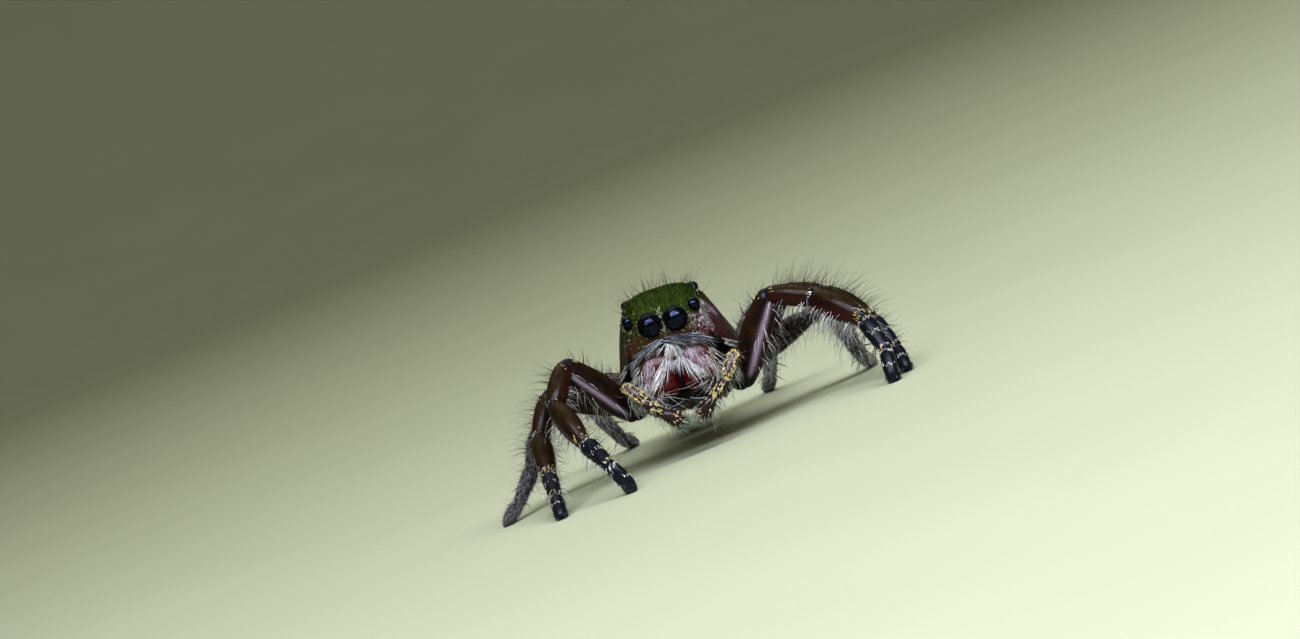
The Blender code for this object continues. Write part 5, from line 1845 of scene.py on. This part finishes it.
@dataclass
class Abdomen(SubAssembly):
    """The egg-shaped abdomen under short banded fur, with its spinnerets.

    Fields: length, half width and half height; the shares of its length where the pale chevrons,
    the slanting bars on its sides and the pairs of dents on its back are; how many pieces its coat
    is in, and how many hairs each has.
    """

    length: float = 9.2
    half_width: float = 2.95
    half_height: float = 2.55
    chevrons: tuple[float, ...] = (0.40, 0.52, 0.64, 0.75, 0.85)
    bars: tuple[float, ...] = (0.30, 0.47, 0.64)
    dents: tuple[float, ...] = (0.33, 0.50, 0.66)
    pieces: int = 3
    hairs: int = 9500

    def size(self, share: Array) -> Array:
        """Thickness along the abdomen.

        Args:
            share: Places along it, 0 at the front.

        Returns:
            The thickness there as a share of its thickest.
        """
        blunt = 1 - (1 - np.clip(share / 0.42, 0, 1)) ** 2.4
        tail = 1 - (np.maximum(0, share - 0.42) / 0.58) ** 2.2
        return np.maximum(0, blunt) ** 0.5 * np.maximum(0, tail) ** 0.62

    def pale(self, share: Array, aside: Array) -> Array:
        """The pale markings, 0 to 1.

        Args:
            share: Place along the abdomen, 0 at the front.
            aside: How far from the midline of the back, 0 there and 2 under the belly.

        Returns:
            How pale the coat is there.
        """
        marks = [ease(0.13, 0.05, share + 0.03 * np.cos(9 * aside)), 0.55 * ease(1.45, 1.75, aside)]
        for at in self.chevrons:
            line = np.abs(share - at - 0.085 * aside)
            marks.append(ease(0.024, 0.010, line) * ease(0.60, 0.42, aside))
        for at in self.bars:
            line = np.abs(share - at - 0.16 * (aside - 0.9))
            marks.append(0.9 * ease(0.045, 0.020, line) * ease(0.50, 0.62, aside) * ease(1.35, 1.2, aside))
        return np.maximum.reduce(marks)

    def build(self) -> Shape:
        """Make the abdomen's skin.

        Returns:
            The skin in the abdomen's frame, with its markings.
        """
        share = 0.5 - 0.5 * np.cos(math.pi * np.linspace(0.008, 0.994, 130))
        size = self.size(share) * 0.975
        angles = turn_about(120)
        zero = np.zeros_like(share)
        centre = np.stack([zero, self.length * (share - 0.5), -0.35 * share**2], axis=1)
        half = np.outer(size, (self.half_width, self.half_height))
        rows = oval(centre, LEFTWARDS, UPWARDS, half, angles, 2.15)
        z, middle = rows[..., 2], centre[:, None, 2]
        rows[..., 2] = np.where(z < middle, middle + 0.88 * (z - middle), z)
        aside = np.abs((angles - math.pi / 2 + math.pi) % (2 * math.pi) - math.pi) / (math.pi / 2)
        share, aside = np.broadcast_arrays(share[:, None], aside)
        for at in self.dents:
            dent = np.exp(-(((share - at) / 0.02) ** 2) - ((aside - 0.22) / 0.05) ** 2)
            rows = rows - (rows - centre[:, None]) * (0.035 * dent)[..., None]
        ripple = 0.012 * np.sin(40 * share + 3 * np.sin(5 * aside)) * ease(0.5, 1.2, aside)
        rows = rows + (rows - centre[:, None]) * ripple[..., None]
        pale = self.pale(share, aside)
        return skin(rows, share=share, aside=aside, mark=pale, way=(0, 1.0, -0.06))

    def coat(self, shape: Shape, count: int) -> Iterator[Shape]:
        """Short fur lying back, tinted like the markings below it, with some longer hairs.

        Args:
            shape: The abdomen's skin.
            count: How many hairs of the short fur.

        Returns:
            The fur, in shapes.
        """
        share, aside, pale = (shape.values[key] for key in ("share", "aside", "mark"))
        tints = (BROWN, (0.075, 0.042, 0.022), (0.13, 0.075, 0.035), BLACK)
        dark = Hair((0.30, 0.52), 0.036, tints, 0.20, 0.93, 0.10)
        light = replace(dark, tints=((0.42, 0.36, 0.27), (0.52, 0.46, 0.36), (0.30, 0.22, 0.13)))
        for kind, weight in ((dark, 1 - pale), (light, pale)):
            yield self.sow(kind, shape, int(count * weight.mean()), weight)
        long = Hair((0.7, 1.1), 0.026, (BLACK, GREY, (0.36, 0.30, 0.22)), 0.55, 0.6, 0.14, steps=4)
        yield self.sow(long, shape, count // 28, 0.4 + 0 * share)

    def spinnerets(self) -> Iterator[Shape]:
        """Make two pairs of tapered spinnerets under the tail.

        Returns:
            Their skins in the abdomen's frame.
        """
        share = np.linspace(0, 1, 22)
        keys = ((0, 0.95), (0.2, 1.0), (0.5, 0.86), (0.56, 0.74), (0.62, 0.82), (0.9, 0.66), (1, 0.2))
        size = curve(keys, share)
        for side in Side:
            for x, z, droop, large in ((0.30, -0.30, 6, 1.0), (0.26, -0.80, 24, 0.9)):
                lean = math.radians(droop)
                way = unit(np.array((side.value * 0.22, math.cos(lean), -math.sin(lean))))
                start = np.array((side.value * x, self.length / 2 - 0.05, z))
                path = start + way * (share * 1.25 * large)[:, None]
                _along, sides, ups = swept(path, LEFTWARDS)
                rows = oval(path, sides, ups, 0.30 * large * size[:, None], turn_about(24))
                yield skin(rows, mark=0.2, way=way)

    def make(self) -> None:
        """Build and dress the abdomen."""
        shape = self.build()
        make_piece("abdomen_skin", shape.carried(REAR), self.finishes.abdomen, ["abdomen"])
        for number in range(self.pieces):
            coat = Shape.joined(self.coat(shape, self.hairs)).carried(REAR)
            make_piece(f"coat_abdomen_{number + 1}", coat, self.finishes.hair, coat=True)
        tail = Shape.joined(self.spinnerets())
        make_piece("spinneret_cones", tail.carried(REAR), self.finishes.abdomen, ["spinnerets"])
        fringe = Hair((0.2, 0.42), 0.026, (BROWN, (0.13, 0.08, 0.04), GREY), 0.25, 0.9, 0.15)
        grown = self.sow(fringe, tail, 700, np.ones(len(tail.points)))
        make_piece("coat_spinnerets", grown.carried(REAR), self.finishes.hair, coat=True)


@dataclass
class Underside(SubAssembly):
    """Sternum, mouth plates, the stalk to the abdomen and the soft skin between shield and hips."""

    sternum_y: tuple[float, float] = (-1.75, 2.55)
    sternum_half: float = 1.22
    sternum_z: tuple[float, float] = (-0.32, -1.95)
    mouth_at: tuple[float, float] = (-2.38, -1.75)

    def sternum(self) -> Shape:
        """Make the plate between the hips, slightly domed.

        Returns:
            Its skin in the body's frame.
        """
        share = np.linspace(0, 1, 48)
        wide = self.sternum_half * (0.30 + 0.70 * np.sin(math.pi * (0.10 + 0.80 * share)) ** 0.7)
        low = self.sternum_z[1] + 0.45 * (2 * share - 1) ** 2
        middle = (self.sternum_z[0] + low) / 2
        ends = dome(share / 0.08) * dome((1 - share) / 0.08)
        y = self.sternum_y[0] + (self.sternum_y[1] - self.sternum_y[0]) * share
        centre = np.stack([0 * share, y, middle], axis=1)
        half = np.stack([wide, self.sternum_z[0] - middle], axis=1) * np.maximum(ends, 0.05)[:, None]
        return skin(oval(centre, LEFTWARDS, UPWARDS, half, turn_about(48), 2.6), way=BACKWARDS)

    def mouth(self) -> Iterator[Shape]:
        """Make three plates in front of the sternum, the middle one small.

        Returns:
            Their skins in the body's frame.
        """
        y0, z0 = self.mouth_at
        share = np.linspace(0.02, 0.98, 30)
        size = curve(((0, 0.3), (0.12, 0.8), (0.4, 1.0), (0.75, 0.9), (0.95, 0.55), (1, 0.25)), share)
        for x, wide, tall in ((0.62, 0.60, 0.96), (-0.62, 0.60, 0.96), (0, 0.34, 0.7)):
            z = z0 + 0.42 - 0.95 * tall * share
            back = 0.10 if x == 0 else 0.0
            centre = np.stack([np.full_like(share, x), y0 + back + 0 * share, z], axis=1)
            rows = oval(centre, LEFTWARDS, BACKWARDS, np.outer(size, (wide, 0.36)), turn_about(32), 2.4)
            yield skin(rows, way=-UPWARDS)

    def core(self) -> Shape:
        """Make the soft skin under the shield, which the hips and the jaws grow from.

        Returns:
            The skin in the body's frame.
        """
        keys = (
            (-3.9, 0.60, 0.98, 0.34), (-3.7, 1.50, 0.85, 0.42), (-2.6, 2.50, 0.30, 0.55),
            (-1.0, 2.90, -0.25, 0.55), (0.8, 3.00, -0.35, 0.52), (2.4, 2.40, -0.30, 0.45),
            (3.4, 1.30, -0.20, 0.35),
        )
        first, last = keys[0][0], keys[-1][0]
        y = np.linspace(first, last, 66)
        table = curve(keys, y)
        ends = dome((y - first + 0.02) / 0.5) * dome((last + 0.02 - y) / 0.5)
        centre = np.stack([0 * y, y, table[:, 1]], axis=1)
        half = table[:, [0, 2]] * np.maximum(ends, 0.05)[:, None]
        return skin(oval(centre, LEFTWARDS, UPWARDS, half, turn_about(64), 2.6), way=BACKWARDS)

    def stalk(self) -> Shape:
        """Make the narrow stalk to the abdomen.

        Returns:
            Its skin in the spider's frame.
        """
        start = np.array(BODY @ Vector((0, self.sternum_y[1] - 0.1, -0.62)))
        end = np.array(REAR @ Vector((0, -4.2, -0.95)))
        share = np.linspace(0, 1, 24)
        path = start + (end - start) * share[:, None]
        _along, sides, ups = swept(path, LEFTWARDS)
        size = 0.33 + 0.03 * np.sin(share * 22)
        return skin(oval(path, sides, ups, size[:, None], turn_about(28)), way=unit(end - start))

    def make(self) -> None:
        """Build and dress the underside."""
        sternum, mouth = self.sternum(), Shape.joined(self.mouth())
        finish = self.finishes.underside
        make_piece("sternum_plate", sternum.carried(BODY), finish, ["sternum"])
        make_piece("mouth_plates_shell", mouth.carried(BODY), finish, ["mouth_plates"])
        make_piece("soft_flanks", self.core().carried(BODY), self.finishes.membrane)
        make_piece("waist", self.stalk(), self.finishes.membrane, ["pedicel"])
        pale = Hair((0.25, 0.55), 0.026, (GREY, SILVER, (0.30, 0.30, 0.25)), 0.35, 0.85, 0.14, steps=4)
        coat = [self.sow(pale, sternum, 500, (sternum.points[:, 2] < -0.9) + 0.05)]
        coat.append(self.sow(pale, mouth, 220, np.ones(len(mouth.points))))
        coat = Shape.joined(coat).carried(BODY)
        make_piece("coat_underside", coat, self.finishes.hair, coat=True)


# Studio


@dataclass(frozen=True)
class Viewpoint:
    """The photograph's camera, turned so that the floor is level.

    Fields: azimuth and elevation of the camera seen from the spider and its roll, in degrees;
    distance and scale at the front middle eyes; the pixel where their midpoint falls.
    """

    azimuth: float = 5.5
    elevation: float = 4.0
    roll: float = 22.5
    distance: float = 300.0
    pixels_per_mm: float = 17.4
    frame_centre: tuple[float, float] = (650.0, 319.5)
    eyes_at: tuple[float, float] = (662.6, 321.4)
    sensor: float = 36.0

    def make(self) -> None:
        """Put the camera in place and make it the scene's."""
        azimuth, elevation, roll = map(math.radians, (self.azimuth, self.elevation, self.roll))
        level = Vector((math.cos(azimuth), math.sin(azimuth), 0))
        out = math.cos(elevation)
        back = Vector((math.sin(azimuth) * out, -math.cos(azimuth) * out, math.sin(elevation)))
        rise = back.cross(level)
        right = level * math.cos(roll) - rise * math.sin(roll)
        up = level * math.sin(roll) + rise * math.cos(roll)
        aside, below = (eye - centre for eye, centre in zip(self.eyes_at, self.frame_centre))
        at = STANCE.eyes_in_row() + back * self.distance * MM
        at += (up * below - right * aside) / self.pixels_per_mm * MM
        data = bpy.data.cameras.new("camera")
        data.sensor_width = self.sensor
        data.lens = self.distance * self.pixels_per_mm / PHOTO_WIDTH * self.sensor
        data.clip_start, data.clip_end = 0.01, 10.0
        camera = bpy.data.objects.new("camera", data)
        turn = Matrix((right, up, back)).transposed()
        camera.matrix_world = Matrix.Translation(at) @ turn.to_4x4()
        bpy.context.scene.collection.objects.link(camera)
        bpy.context.scene.camera = camera


@dataclass(frozen=True)
class Lamp:
    """A soft light: where it hangs, its width and height, in millimetres, its watts and tint."""

    name: str
    at: tuple[float, float, float]
    size: tuple[float, float]
    watts: float
    tint: Colour

    def make(self) -> None:
        """Hang the lamp so that it faces the spider."""
        data = bpy.data.lights.new(self.name, "AREA")
        data.shape = "RECTANGLE"
        data.size, data.size_y = (side * MM for side in self.size)
        data.energy = self.watts
        data.color = self.tint
        lamp = bpy.data.objects.new(self.name, data)
        at = Vector(self.at)
        turn = (at - Vector((0, 0, 4))).to_track_quat("Z", "Y")
        lamp.matrix_world = Matrix.Translation(at * MM) @ turn.to_matrix().to_4x4()
        bpy.context.scene.collection.objects.link(lamp)


@dataclass
class Studio:
    """A pale floor that curves up far behind on every side, soft lights and the camera."""

    sides: int = 96
    inner_radii: tuple[float, ...] = (1.0, 60.0, 200.0)
    floor_radius: float = 420.0
    wall_radius: float = 760.0
    wall_height: float = 300.0
    lamps: tuple[Lamp, ...] = (
        Lamp("sky_softbox", (20, -240, 270), (400, 190), 2.4, (0.84, 0.87, 1.0)),
        Lamp("sky_softbox_right", (230, -190, 230), (110, 110), 0.5, (0.92, 0.93, 1.0)),
        Lamp("overhead_softbox", (0, 160, 330), (300, 300), 0.3, (0.95, 1.0, 0.80)),
    )
    floor_colour: Colour = (0.375, 0.385, 0.265)
    sky: Colour = (0.90, 0.92, 0.62)
    sky_strength: float = 0.14

    def floor(self) -> None:
        """Make the floor."""
        rise = np.linspace(0, 1, 24) * math.pi / 2
        reach = self.floor_radius + (self.wall_radius - self.floor_radius) * np.sin(rise)
        radius = np.concatenate([self.inner_radii, reach])
        height = np.concatenate([0 * np.array(self.inner_radii), self.wall_height * (1 - np.cos(rise))])
        turn = turn_about(self.sides)
        level = [np.outer(radius, np.cos(turn)), np.outer(radius, np.sin(turn))]
        rows = np.stack([*level, np.outer(height, np.ones(self.sides))], axis=-1)
        index = np.arange(len(radius) * self.sides).reshape(-1, self.sides)
        nxt = np.roll(index, -1, axis=1)
        quads = np.stack([index[:-1], nxt[:-1], nxt[1:], index[1:]], axis=-1).reshape(-1, 4)
        mesh = bpy.data.meshes.new("floor")
        mesh.from_pydata((rows.reshape(-1, 3) * MM).tolist(), [], quads.tolist() + [index[0, ::-1].tolist()])
        mesh.shade_smooth()
        board = Board("pale_floor")
        cloud = board.ranged(board.noise(18, 3), 0.3, 0.7)
        low = tuple(part * 0.97 for part in self.floor_colour)
        mesh.materials.append(board.finish(board.mix(cloud, low, self.floor_colour), 0.85))
        piece = bpy.data.objects.new("floor", mesh)
        bpy.context.scene.collection.objects.link(piece)

    def make(self) -> None:
        """Build the studio."""
        self.floor()
        for lamp in self.lamps:
            lamp.make()
        world = bpy.data.worlds.new("soft_sky")
        world.use_nodes = True
        light = world.node_tree.nodes["Background"]
        light.inputs["Color"].default_value = (*self.sky, 1.0)
        light.inputs["Strength"].default_value = self.sky_strength
        bpy.context.scene.world = world
        view = bpy.context.scene.view_settings
        view.view_transform = "Standard"
        view.look = "Medium High Contrast"
        Viewpoint().make()


def main() -> None:
    """Build every piece, then the studio."""
    logging.basicConfig(level=logging.INFO, format="%(message)s")
    finishes = Finishes()
    rng = np.random.default_rng(SEED)
    for assembly in (Head, Jaws, Palps):
        assembly(finishes, rng).make()
    legs = [Leg(finishes, rng, number, side) for side in Side for number in LEG_SIZES]
    spines = [spine for leg in legs for spine in leg.make()]
    make_piece("leg_spines", Shape.joined(spines), finishes.horn)
    for assembly in (Abdomen, Underside):
        assembly(finishes, rng).make()
    Studio().make()


if __name__ == "__main__":
    main()
